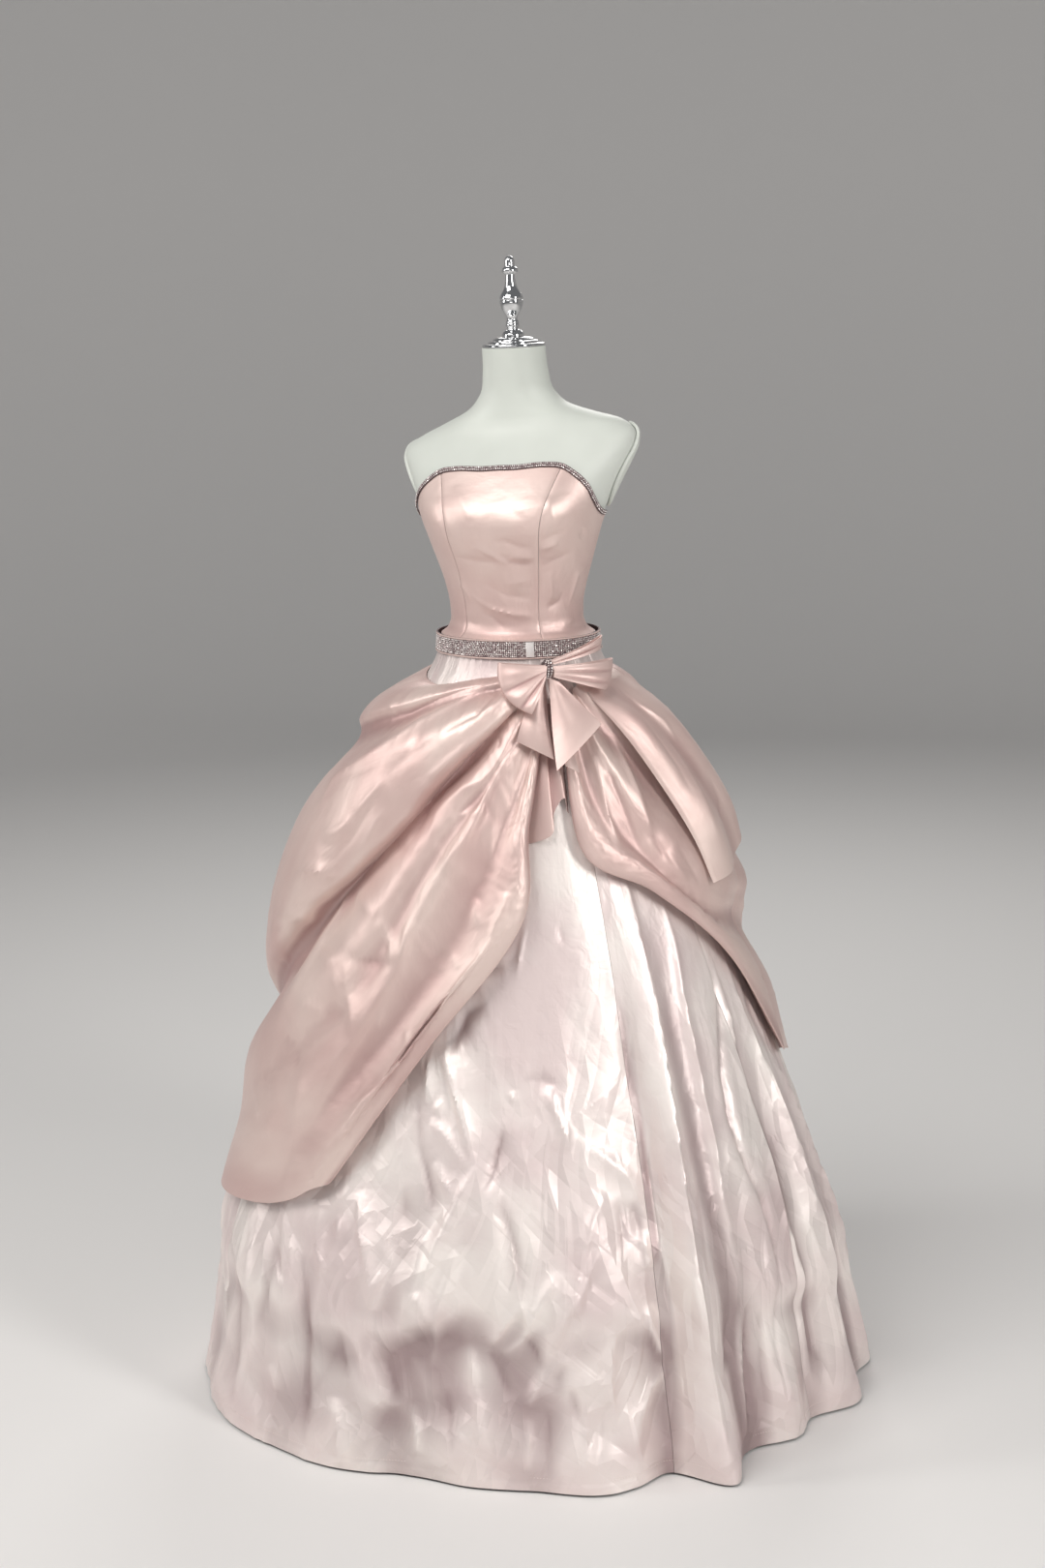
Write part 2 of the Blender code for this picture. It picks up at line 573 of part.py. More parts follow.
def make_stand(parts):
    """Round steel base and pole, up to the form's closed hip."""
    base = [(0.0, BASE_RADIUS), (BASE_THICK - 0.004, BASE_RADIUS), (BASE_THICK, BASE_RADIUS - 0.006),
            (BASE_THICK + 0.002, 0.030)]
    turned("stand_base", base, 32, STAND_STEEL, parts)
    pole = [(BASE_THICK + 0.002 + SEAT_GAP, POLE_RADIUS), (FORM_BOTTOM - SEAT_GAP, POLE_RADIUS)]
    turned("stand_pole", pole, 16, STAND_STEEL, parts)


def make_finial(parts):
    """Chrome neck cap and turned finial, leaning with the neck."""
    centre = smooth(BODY_SECTIONS, NECK_TOP)[3]
    rise = form_tilt(NECK_TOP)
    foot = (0.0, centre, NECK_TOP + SEAT_GAP / math.cos(math.radians(NECK_LEAN)))
    turned("neck_cap", CAP_PROFILE, 22, CHROME, parts, NECK_LEAN, rise, foot)
    turned("finial", FINIAL_PROFILE, 16, CHROME, parts, NECK_LEAN, rise, foot)


def neckline(turn):
    return smooth(NECKLINE, abs(turn_gap(turn, 0.0)))[0]


def bodice_point(turn, height, off=0.0):
    """A point of the bodice's outer face, moved out by off."""
    return body_point(turn, height, smooth(BODICE_EASE, height)[0] + CLOTH + off)


def make_bodice(parts):
    """Princess-seamed strapless bodice: seven panels from the waist seam to the neckline."""
    def princess(height):
        return smooth(PRINCESS_SEAM, height)[0]

    def mirrored(edge):
        return lambda height: -edge(height)

    def at(turn):
        return lambda height: turn

    panels = [
        ("bodice_centre_front", mirrored(princess), princess, 9),
        ("bodice_side_front_left", princess, at(90.0), 12),
        ("bodice_side_back_left", at(90.0), at(137.0), 5),
        ("bodice_back_left", at(137.0), at(180.0), 5),
        ("bodice_back_right", at(-180.0), at(-137.0), 5),
        ("bodice_side_back_right", at(-137.0), at(-90.0), 5),
        ("bodice_side_front_right", at(-90.0), mirrored(princess), 12),
    ]
    for name, first, last, columns in panels:
        def place(u, v, first=first, last=last):
            height = WAIST_SEAM + v * (1.40 - WAIST_SEAM)
            for _ in range(3):
                edge = math.degrees(SEAM_GAP / 2 / 0.095)
                start = first(height) + edge
                turn = start + u * (last(height) - edge - start)
                height = WAIST_SEAM + v * (neckline(turn) - WAIST_SEAM)
            return bodice_point(turn, height)
        cloth(name, place, columns, 9, SATIN, parts)


def make_neckline_trim(parts):
    """Crystal edging round the front of the neckline, side seam to side seam, laid on the bodice."""
    width = 0.0085

    def place(u, v):
        turn = -90.0 + 180.0 * u
        return bodice_point(turn, neckline(turn) + 0.0012 - width * (1 - v), 0.0027 + SEAT_GAP)

    cloth("neckline_trim", place, 36, 1, CRYSTAL, parts, wall=0.0019)


def make_skirt(parts):
    """Gored skirt from the waist seam to the hem, with its folds."""
    for name, first, last, columns in SKIRT_GORES:
        def place(u, v, first=first, last=last):
            row = v * (len(SKIRT_ROWS) - 1)
            height = float(np.interp(row, range(len(SKIRT_ROWS)), SKIRT_ROWS))
            edge = math.degrees(SEAM_GAP / 2 / smooth(SKIRT_SECTIONS, height)[0])
            return skirt_point(first + edge + u * (last - first - 2 * edge), height, 0.0, True)
        cloth(name, place, columns, len(SKIRT_ROWS) - 1, SKIRT_SATIN, parts, axis=(0.0, 0.05))


def make_belt(parts):
    """Crystal belt, a closed band round the waist seam, with a plain slide at the front."""
    sides = 40
    bm = bmesh.new()
    rings = []
    for height, off in ((BELT_BOTTOM, SEAT_GAP + 0.0008), (BELT_BOTTOM, BELT_WALL + SEAT_GAP + 0.0008),
                        (BELT_TOP, BELT_WALL + 0.0045), (BELT_TOP, 0.0045)):
        ring = []
        for step in range(sides):
            x, y, _ = skirt_point(360.0 * step / sides, min(height, WAIST_SEAM), off)
            ring.append(bm.verts.new((x, y, height)))
        rings.append(ring)
    for ring, following in zip(rings, rings[1:] + rings[:1]):
        for step in range(sides):
            after = (step + 1) % sides
            bm.faces.new((ring[step], ring[after], following[after], following[step]))
    bmesh.ops.recalc_face_normals(bm, faces=bm.faces)
    make_object("belt_band", bm, CRYSTAL, parts)

    def place(u, v):
        height = BELT_BOTTOM + 0.003 + v * (BELT_TOP - BELT_BOTTOM - 0.006)
        share = (height - BELT_BOTTOM) / (BELT_TOP - BELT_BOTTOM)
        off = BELT_WALL + SEAT_GAP + 0.0008 + share * 0.0034 + 0.0024
        turn = SLIDE_TURNS[0] + u * (SLIDE_TURNS[1] - SLIDE_TURNS[0])
        bottom = skirt_point(turn, BELT_BOTTOM, off)
        top = skirt_point(turn, WAIST_SEAM, off)
        return (bottom[0] + share * (top[0] - bottom[0]), bottom[1] + share * (top[1] - bottom[1]), height)

    cloth("belt_slide", place, 3, 1, CHROME, parts, wall=0.0018)


def make_drapes(parts):
    """Overskirt: two front drapes, a short upper one, the jabot between them and the plain back."""
    drape("drape_right_front", DRAPE_RIGHT_FRONT, 13, 30, parts, seams=(4,))
    drape("drape_left_lower", DRAPE_LEFT_LOWER, 9, 18, parts, seams=(4,))
    drape("drape_left_upper", DRAPE_LEFT_UPPER, 8, 8, parts)
    drape("drape_back_left", DRAPE_BACK_LEFT, 8, 16, parts, seams=(0, 4))
    drape("drape_back_right", DRAPE_BACK_RIGHT, 8, 16, parts, seams=(0, 4))
    drape("jabot", JABOT, 7, 8, parts)


def make_bow(parts):
    """Three folded loops, three tails and the crystal knot."""
    middle = bow_point(0.0, 0.0, 0.040)[:2]
    for name, loop in BOW_LOOPS.items():
        def place(u, v, loop=loop):
            root = np.array(loop["root"][0]) * (1 - v) + np.array(loop["root"][1]) * v
            tip = np.array(loop["tip"][0]) * (1 - v) + np.array(loop["tip"][1]) * v
            out = tip - root
            tip = tip + out / np.linalg.norm(out) * loop["bulge"] * math.sin(math.pi * v)
            reach = math.sin(math.pi * u) ** 0.8
            across, up = root + (tip - root) * reach
            fold = 0.0022 * math.cos(math.tau * loop["pleats"] * v) * math.sin(math.pi * u) ** 2
            off = loop["lift"] + loop["puff"] * math.cos(math.pi * u) * (0.34 + 0.66 * math.sin(math.pi * u))
            return bow_point(across, up, off + (fold if u < 0.5 else 0.0))
        cloth(name, place, 12, 5, SATIN, parts, wall=RIBBON, axis=middle)
    for name, tail in BOW_TAILS.items():
        def place(u, v, tail=tail):
            root = np.array(tail["root"][0]) * (1 - u) + np.array(tail["root"][1]) * u
            end = np.array(tail["end"][0]) * (1 - u) + np.array(tail["end"][1]) * u
            across, up = root + (end - root) * v
            low, quarter, high = tail["lift"]
            bend = (high - low - 4 * (quarter - low)) / 0.75
            off = low + (high - low - bend) * v + bend * v * v
            off += 0.003 * math.sin(math.pi * u) * math.sin(math.pi * v)
            return bow_point(across, up, off)
        cloth(name, place, 4, 7, SATIN, parts, wall=RIBBON)

    bm = bmesh.new()
    bmesh.ops.create_uvsphere(bm, u_segments=12, v_segments=8, radius=0.5)
    wide, tall, deep = KNOT_SIZE
    for vert in bm.verts:
        vert.co = bow_point(vert.co.x * wide, vert.co.y * tall, KNOT_MIDDLE + vert.co.z * deep)
    make_object("bow_knot", bm, CRYSTAL, parts)


def main():
    for obj in list(bpy.data.objects):
        bpy.data.objects.remove(obj)
    parts = bpy.data.collections.new("ball_gown_on_form")
    bpy.context.scene.collection.children.link(parts)
    make_form(parts)
    make_arm_caps(parts)
    make_stand(parts)
    make_finial(parts)
    make_bodice(parts)
    make_neckline_trim(parts)
    make_skirt(parts)
    make_belt(parts)
    make_drapes(parts)
    make_bow(parts)


main()
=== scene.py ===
"""Satin ball gown with a draped overskirt, a crystal belt and a bow, finished on its dress form.

Metres, +Z up. The gown faces -Y and the wearer's left is +X. A turn is the angle round the body in
degrees, 0 at centre front and +90 at the wearer's left.
"""
import math

import bmesh
import bpy
import numpy as np
from mathutils import Matrix, Vector


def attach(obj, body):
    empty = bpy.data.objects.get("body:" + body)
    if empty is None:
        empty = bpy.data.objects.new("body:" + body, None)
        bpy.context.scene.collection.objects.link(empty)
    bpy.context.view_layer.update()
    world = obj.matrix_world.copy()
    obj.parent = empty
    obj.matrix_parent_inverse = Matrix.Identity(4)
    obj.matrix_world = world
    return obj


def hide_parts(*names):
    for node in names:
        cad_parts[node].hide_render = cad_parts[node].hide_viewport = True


bl_info = {
    "name": "Draped ball gown on a dress form",
    "version": (1, 0, 0),
    "blender": (4, 5, 0),
    "location": "View3D > Sidebar > Gown",
    "description": "Builds a draped satin ball gown with a crystal belt and a bow on its dress form",
    "category": "Object",
}

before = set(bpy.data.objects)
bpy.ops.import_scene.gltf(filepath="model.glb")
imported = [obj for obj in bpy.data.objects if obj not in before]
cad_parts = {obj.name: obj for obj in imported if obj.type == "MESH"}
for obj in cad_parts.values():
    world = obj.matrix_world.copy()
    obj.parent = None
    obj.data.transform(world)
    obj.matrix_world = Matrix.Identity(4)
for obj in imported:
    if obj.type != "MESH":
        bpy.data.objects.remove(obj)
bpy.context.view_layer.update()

# Cloth and seams
CLOTH = 0.002            # wall of the bodice's solids
SEAM_GAP = 0.0005        # between two pieces sewn edge to edge
SEAT_GAP = 0.0003        # between a piece and what carries it
SIDE_SEAM_TURN = 0.13    # degrees that a drape stays clear of its side seam

# Heights of the garment
HEM_HEIGHT = 0.004
WAIST_SEAM = 1.178
SKIRT_TOP = 1.1765       # of the gores, a little under the waist seam
BELT_BOTTOM = 1.152
BELT_TOP = 1.180
BELT_WALL = 0.0025

# Dress form and stand
NECK_TOP = 1.592
NECK_LEAN = 1.0          # degrees, cap and finial tip forward
FORM_BOTTOM = 0.880
POLE_RADIUS = 0.0125
BASE_RADIUS = 0.170
BASE_THICK = 0.014
ARM_CAP_TURN = 108.0     # its middle, a little to the back
ARM_CAP_HEIGHT = 1.412
ARM_CAP_SPREAD = (25.0, 0.054)   # degrees to each side, metres up and down

# Bow
SLIDE_TURNS = (20.3, 25.9)
BOW_TURN = 31.0
BOW_HEIGHT = 1.141
BOW_SLOPE = 0.90         # height gained for each metre up along the skirt
BOW_HANG = 0.21          # its pieces hang plumb, so they cross the flaring skirt by this share
BOW_RADIUS = 0.93        # share of the skirt's half width that a turn of the bow is measured on

# Body sections: height, half width, front depth, back depth, centre in Y
BODY_SECTIONS = [
    (0.880, 0.118, 0.092, 0.100, 0.000),
    (0.905, 0.140, 0.108, 0.120, 0.000),
    (0.960, 0.152, 0.112, 0.130, 0.002),
    (1.030, 0.142, 0.104, 0.118, 0.002),
    (1.100, 0.114, 0.090, 0.092, 0.000),
    (1.150, 0.097, 0.080, 0.074, -0.001),
    (1.195, 0.0935, 0.078, 0.070, -0.003),
    (1.225, 0.0950, 0.081, 0.072, -0.004),
    (1.255, 0.1015, 0.087, 0.078, -0.004),
    (1.285, 0.1110, 0.095, 0.084, -0.005),
    (1.312, 0.1195, 0.103, 0.089, -0.006),
    (1.341, 0.1290, 0.110, 0.092, -0.005),
    (1.368, 0.1405, 0.110, 0.093, 0.001),
    (1.395, 0.1530, 0.103, 0.090, 0.011),
    (1.422, 0.1665, 0.093, 0.083, 0.021),
    (1.444, 0.1750, 0.082, 0.074, 0.029),
    (1.461, 0.1720, 0.072, 0.066, 0.033),
    (1.475, 0.1510, 0.063, 0.060, 0.033),
    (1.488, 0.1160, 0.057, 0.056, 0.031),
    (1.503, 0.0790, 0.053, 0.053, 0.028),
    (1.523, 0.0570, 0.049, 0.049, 0.024),
    (1.555, 0.0480, 0.047, 0.047, 0.018),
    (1.592, 0.0460, 0.046, 0.046, 0.012),
]
# Set of the form: height, rise of its left side for each metre across
FORM_TILT = [
    (0.880, 0.0),
    (1.280, 0.0),
    (1.440, 0.052),
    (1.475, 0.085),
    (1.530, 0.045),
    (1.592, 0.020),
]
# Bust: how far it stands out, its turn and spread in degrees, its height and spread in metres
BUST = (0.010, 34.0, 19.0, 1.356, 0.036)
FRONT_TO_BACK = 0.08     # over this much of the turn's cosine the front's depth becomes the back's
# Room between form and bodice: height, ease
BODICE_EASE = [
    (1.178, 0.0190),
    (1.184, 0.0110),
    (1.194, 0.0055),
    (1.215, 0.0035),
    (1.250, 0.0030),
    (1.300, 0.0024),
    (1.340, 0.0021),
    (1.420, 0.0019),
]
# Upper edge of the bodice: turn from centre front, height
NECKLINE = [
    (0.0, 1.4270),
    (8.0, 1.4265),
    (22.0, 1.4280),
    (32.0, 1.4245),
    (40.0, 1.4140),
    (52.0, 1.3960),
    (62.0, 1.3780),
    (72.0, 1.3635),
    (82.0, 1.3550),
    (92.0, 1.3520),
    (135.0, 1.3380),
    (180.0, 1.3320),
]
# Front princess seam: height, turn
PRINCESS_SEAM = [
    (1.178, 34.0),
    (1.240, 33.8),
    (1.310, 31.2),
    (1.360, 29.5),
    (1.420, 32.0),
]
# Skirt sections: height, half width, depth as a share of it, centre in X, centre in Y
SKIRT_SECTIONS = [
    (0.000, 0.512, 0.905, -0.020, 0.062),
    (0.100, 0.506, 0.905, -0.022, 0.058),
    (0.200, 0.488, 0.903, -0.026, 0.054),
    (0.300, 0.465, 0.896, -0.026, 0.049),
    (0.400, 0.432, 0.888, -0.022, 0.044),
    (0.500, 0.394, 0.885, -0.018, 0.038),
    (0.600, 0.352, 0.885, -0.012, 0.032),
    (0.700, 0.315, 0.878, -0.009, 0.026),
    (0.800, 0.277, 0.870, -0.007, 0.020),
    (0.900, 0.236, 0.862, -0.005, 0.014),
    (1.000, 0.193, 0.855, -0.003, 0.009),
    (1.100, 0.148, 0.850, -0.001, 0.003),
    (1.150, 0.1215, 0.848, 0.000, 0.000),
    (1.178, 0.1150, 0.848, 0.000, -0.002),
]
# Skirt folds: turn, half width in degrees, how far the hem stands out, height where the fold starts
SKIRT_FOLDS = [
    (-72.0, 12.0, 0.018, 0.40),
    (-62.0, 4.0, -0.006, 0.36),
    (-46.0, 12.0, 0.026, 0.44),
    (-38.0, 5.0, 0.004, 0.44),
    (-24.0, 7.0, 0.010, 0.44),
    (-17.0, 5.0, 0.008, 0.44),
    (-6.0, 6.0, -0.018, 0.50),
    (10.0, 6.0, -0.004, 0.50),
    (26.0, 5.0, 0.019, 0.60),
    (39.5, 3.6, -0.028, 0.90),
    (46.0, 3.3, 0.060, 0.95),
    (57.0, 5.5, -0.028, 0.88),
    (66.5, 3.6, 0.006, 0.86),
    (74.0, 4.5, -0.026, 0.80),
    (85.0, 4.2, 0.018, 0.74),
    (95.0, 4.2, -0.012, 0.66),
    (104.0, 4.2, 0.020, 0.66),
    (112.0, 4.2, -0.016, 0.66),
    (120.0, 4.2, 0.022, 0.60),
    (129.0, 4.2, -0.020, 0.60),
    (138.0, 4.2, 0.022, 0.60),
    (147.0, 4.2, -0.018, 0.60),
    (155.0, 4.2, 0.022, 0.60),
    (163.0, 4.2, -0.014, 0.60),
    (171.0, 4.2, 0.018, 0.60),
    (180.0, 4.2, -0.020, 0.60),
    (-171.0, 4.2, 0.018, 0.56),
    (-163.0, 4.2, -0.016, 0.52),
    (-155.0, 4.2, 0.022, 0.50),
    (-147.0, 4.2, -0.018, 0.48),
    (-140.0, 4.2, 0.020, 0.46),
    (-132.0, 4.2, -0.020, 0.42),
    (-123.0, 4.2, 0.020, 0.40),
    (-114.0, 4.2, -0.016, 0.36),
    (-104.0, 4.2, 0.016, 0.34),
    (-92.0, 4.2, -0.022, 0.32),
]
# Skirt gores: name, first turn, last turn, columns of the solid
SKIRT_GORES = [
    ("skirt_front", -57.0, 39.5, 20),
    ("skirt_side_front_left", 39.5, 74.0, 13),
    ("skirt_side_back_left", 74.0, 129.0, 14),
    ("skirt_back_left", 129.0, 180.0, 12),
    ("skirt_back_right", 180.0, 228.0, 12),
    ("skirt_side_back_right", 228.0, 268.0, 10),
    ("skirt_side_front_right", 268.0, 303.0, 9),
]

# Drapes: one row for each fold, from the waist edge to the free edge. A row has the turn, the height and
# the millimetres off the skirt at five stations along the fold.
DRAPE_RIGHT_FRONT = {
    "waist edge": [(24, 1.125, 3.3), (2, 1.129, 3.3), (-20, 1.118, 3.3),
        (-48, 1.112, 4), (-95, 1.128, 4.2)],
    "shelf": [(24, 1.122, 9), (3, 1.129, 14), (-20, 1.119, 20), (-50, 1.103, 44), (-95, 1.070, 62)],
    "hip crest": [(24, 1.118, 12), (5, 1.123, 24), (-20, 1.110, 38), (-51, 1.078, 64), (-95, 1.030, 75)],
    "hip valley": [(24, 1.115, 13), (5, 1.113, 22), (-18, 1.090, 36), (-49, 1.050, 56), (-95, 0.985, 64)],
    "main crest": [(24, 1.111, 14), (8, 1.104, 40), (-14, 1.058, 70),
        (-45, 0.995, 96), (-95, 0.860, 107)],
    "main belly": [(24, 1.108, 14), (8, 1.088, 40), (-14, 1.010, 68),
        (-46, 0.890, 101), (-95, 0.720, 106)],
    "puff lip": [(24, 1.105, 14), (8, 1.074, 32), (-16, 0.970, 52), (-51, 0.780, 79), (-95, 0.592, 77)],
    "long crease": [(24, 1.101, 14), (5, 1.062, 18), (-22, 0.938, 30),
        (-54, 0.732, 38), (-95, 0.532, 34)],
    "belly crest": [(24, 1.098, 14), (7, 1.042, 34), (-15, 0.905, 50),
        (-41, 0.690, 57), (-95, 0.440, 48)],
    "side valley": [(24.5, 1.095, 14), (7, 1.010, 38), (-12, 0.868, 46),
        (-34, 0.640, 46), (-95, 0.300, 16)],
    "lower crest": [(24.7, 1.092, 14), (5, 0.975, 46), (-9, 0.838, 52),
        (-25, 0.640, 50), (-66, 0.318, 24)],
    "lower valley": [(25, 1.088, 13), (9, 0.925, 30), (-3, 0.780, 34),
        (-20, 0.600, 34), (-45, 0.345, 20)],
    "hem crest": [(25.2, 1.085, 13), (13, 0.930, 36), (5, 0.785, 42),
        (-12.5, 0.606, 42), (-34, 0.372, 24)],
    "edge crest": [(25.5, 1.081, 13), (16, 0.940, 40), (12, 0.812, 46),
        (-8.5, 0.638, 44), (-28, 0.400, 26)],
    "free edge": [(26.3, 1.077, 12), (18, 0.930, 30), (15.5, 0.803, 31),
        (-6.5, 0.622, 29), (-24.5, 0.412, 18)],
    "turned under": [(26.2, 1.073, 8), (17, 0.942, 15), (12, 0.826, 14),
        (-10, 0.646, 13), (-25, 0.420, 9)],
}
DRAPE_LEFT_LOWER = {
    "waist edge": [(52, 1.123, 2.8), (62, 1.124, 2.8), (75, 1.125, 2.8),
        (88, 1.126, 2.8), (100, 1.128, 2.8)],
    "shelf": [(50, 1.118, 9), (62, 1.112, 13), (75, 1.105, 17), (88, 1.098, 20), (100, 1.090, 24)],
    "first crest": [(48, 1.113, 12), (60, 1.080, 24), (74, 1.045, 31), (88, 1.012, 35), (100, 0.990, 36)],
    "first valley": [(46, 1.108, 8), (57, 1.035, 18), (70, 0.970, 26), (86, 0.915, 40), (100, 0.885, 46)],
    "second crest": [(44, 1.102, 14), (51, 1.005, 36), (63, 0.915, 40),
        (80, 0.850, 46), (100, 0.805, 48)],
    "second lip": [(43, 1.099, 12), (48, 0.985, 30), (60, 0.885, 36), (78, 0.808, 36), (100, 0.768, 30)],
    "second valley": [(40, 1.095, 9), (43, 0.960, 20), (57, 0.865, 26),
        (77, 0.775, 22), (100, 0.730, 14)],
    "edge crest": [(37.5, 1.088, 15), (37.5, 0.925, 31), (56, 0.850, 34),
        (79, 0.745, 30), (100, 0.645, 26)],
    "free edge": [(35, 1.077, 11), (34.3, 0.893, 22), (56, 0.822, 24), (81, 0.705, 20), (100, 0.530, 17)],
    "turned under": [(37.5, 1.081, 5), (37.5, 0.908, 10), (60, 0.838, 11),
        (84, 0.725, 9), (98, 0.566, 10)],
}
DRAPE_LEFT_UPPER = {
    "inner edge": [(52, 1.104, 18), (60, 1.045, 42), (69, 0.965, 48), (74, 0.890, 54), (77, 0.820, 50)],
    "first crest": [(58, 1.108, 19), (68, 1.058, 54), (77, 0.975, 68), (82, 0.900, 76), (84, 0.830, 66)],
    "valley": [(67, 1.112, 18), (78, 1.060, 50), (87, 0.980, 66), (91, 0.915, 73), (93, 0.846, 65)],
    "second crest": [(78, 1.116, 22), (89, 1.060, 62), (97, 0.982, 80),
        (101, 0.918, 86), (103, 0.862, 78)],
    "outer edge": [(92, 1.116, 22), (101, 1.060, 54), (108, 0.985, 72),
        (112, 0.922, 78), (114, 0.876, 70)],
}
# The overskirt's back: the same folds, from the side seams to the centre back
DRAPE_BACK_LEFT = {
    "waist edge": [(100, 1.128, 3.4), (120, 1.129, 3.4), (140, 1.129, 3.4),
        (160, 1.129, 3.4), (180, 1.129, 3.4)],
    "shelf": [(100, 1.090, 24), (120, 1.090, 30), (140, 1.092, 40), (160, 1.094, 50), (180, 1.094, 55)],
    "first crest": [(100, 0.990, 36), (120, 0.986, 46), (140, 0.984, 70),
        (160, 0.984, 90), (180, 0.985, 98)],
    "first valley": [(100, 0.885, 46), (120, 0.882, 50), (140, 0.880, 64),
        (160, 0.879, 76), (180, 0.880, 80)],
    "second crest": [(100, 0.805, 48), (120, 0.785, 68), (140, 0.768, 86),
        (160, 0.757, 96), (180, 0.755, 100)],
    "second lip": [(100, 0.768, 30), (120, 0.735, 46), (140, 0.700, 58),
        (160, 0.670, 66), (180, 0.660, 70)],
    "second valley": [(100, 0.730, 14), (120, 0.690, 26), (140, 0.650, 36),
        (160, 0.620, 42), (180, 0.610, 44)],
    "edge crest": [(100, 0.645, 26), (120, 0.598, 40), (140, 0.555, 46),
        (160, 0.522, 49), (180, 0.510, 50)],
    "free edge": [(100, 0.530, 17), (120, 0.488, 22), (140, 0.440, 24),
        (160, 0.400, 24), (180, 0.385, 24)],
}
DRAPE_BACK_RIGHT = {
    "waist edge": [(-95, 1.128, 3.4), (-116, 1.129, 3.4), (-138, 1.129, 3.4),
        (-159, 1.129, 3.4), (-180, 1.129, 3.4)],
    "shelf": [(-95, 1.070, 62), (-116, 1.080, 60), (-138, 1.088, 58),
        (-159, 1.092, 56), (-180, 1.094, 55)],
    "hip crest": [(-95, 1.030, 75), (-116, 1.034, 80), (-138, 1.040, 83),
        (-159, 1.046, 84), (-180, 1.048, 83)],
    "first crest": [(-95, 0.985, 64), (-116, 0.990, 78), (-138, 0.990, 90),
        (-159, 0.987, 96), (-180, 0.985, 98)],
    "first valley": [(-95, 0.860, 107), (-116, 0.868, 90), (-138, 0.874, 84),
        (-159, 0.878, 81), (-180, 0.880, 80)],
    "second crest": [(-95, 0.720, 106), (-116, 0.722, 102), (-138, 0.732, 102),
        (-159, 0.748, 101), (-180, 0.755, 100)],
    "second lip": [(-95, 0.592, 77), (-116, 0.600, 70), (-138, 0.618, 70),
        (-159, 0.645, 70), (-180, 0.660, 70)],
    "second valley": [(-95, 0.532, 34), (-116, 0.540, 38), (-138, 0.562, 42),
        (-159, 0.592, 44), (-180, 0.610, 44)],
    "edge crest": [(-95, 0.440, 48), (-116, 0.436, 48), (-138, 0.456, 49),
        (-159, 0.490, 50), (-180, 0.510, 50)],
    "free edge": [(-95, 0.300, 16), (-116, 0.298, 18), (-138, 0.320, 22),
        (-159, 0.362, 24), (-180, 0.385, 24)],
}
# The gathered jabot between the two front drapes, fold by fold from the right to the left of the gown
JABOT = {
    "right edge": [(23, 1.090, 1.9), (20, 1.040, 4), (17.5, 0.990, 5), (16.5, 0.945, 5), (16, 0.898, 5)],
    "first crest": [(27, 1.090, 1.9), (26, 1.045, 8), (25.5, 1.000, 14),
        (25.3, 0.955, 15), (25.3, 0.913, 14)],
    "deep fold": [(29, 1.090, 1.9), (28, 1.050, 5), (27.3, 1.012, 7),
        (27.1, 0.980, 9), (27.1, 0.943, 11)],
    "second crest": [(31, 1.090, 1.9), (30.5, 1.055, 7), (30.5, 1.022, 14),
        (30.8, 0.992, 16), (31.3, 0.962, 14)],
    "left edge": [(33.5, 1.090, 1.9), (33.5, 1.045, 4), (33.4, 1.005, 6),
        (33, 0.975, 7), (32.6, 0.940, 7)],
}

# Bow, in metres from the knot: across, up. Root and tip corners, then the distance off the skirt
BOW_LOOPS = {
    "bow_loop_right": {"root": [(-.0053, .008), (-.0053, -.009)], "tip": [(-.073, .014), (-.022, -.064)],
                       "lift": .0435, "puff": .013, "pleats": 2, "bulge": .016},
    "bow_loop_left": {"root": [(.0063, .005), (.0063, -.010)], "tip": [(.112, .007), (.092, -.037)],
                      "lift": .040, "puff": .013, "pleats": 2, "bulge": .004},
    "bow_loop_upper": {"root": [(.0030, .0150), (.0048, .0088)], "tip": [(.087, .046), (.083, .024)],
                       "lift": .038, "puff": .010, "pleats": 0, "bulge": .002},
}
# Tails: the distance off the skirt is given at the root, at a quarter of the length and at the end
BOW_TAILS = {
    "bow_tail_right": {"root": [(-.0105, -.0143), (-.0005, -.0145)], "end": [(-.038, -.104), (.0155, -.133)],
                       "lift": (.026, .0215, .045)},
    "bow_tail_front": {"root": [(.001, -.0113), (.016, -.0182)], "end": [(.018, -.148), (.079, -.083)],
                       "lift": (.038, .036, .056)},
    "bow_tail_left": {"root": [(.0010, -.0137), (.010, -.0160)], "end": [(.032, -.143), (.053, -.155)],
                      "lift": (.028, .026, .048)},
}
KNOT_SIZE = (0.013, 0.028, 0.0474)
KNOT_MIDDLE = 0.0247     # off the skirt, so that its back is sewn to the yoke


# Camera
CAMERA_AZIMUTH = 18.0
CAMERA_DOWN = 11.95
CAMERA_ROLL = -1.5
CAMERA_DISTANCE = 3.80
CAMERA_HEIGHT = 1.75
CAMERA_LENS = 59.56
CAMERA_SENSOR = 36.0
CAMERA_REACH = 100.0

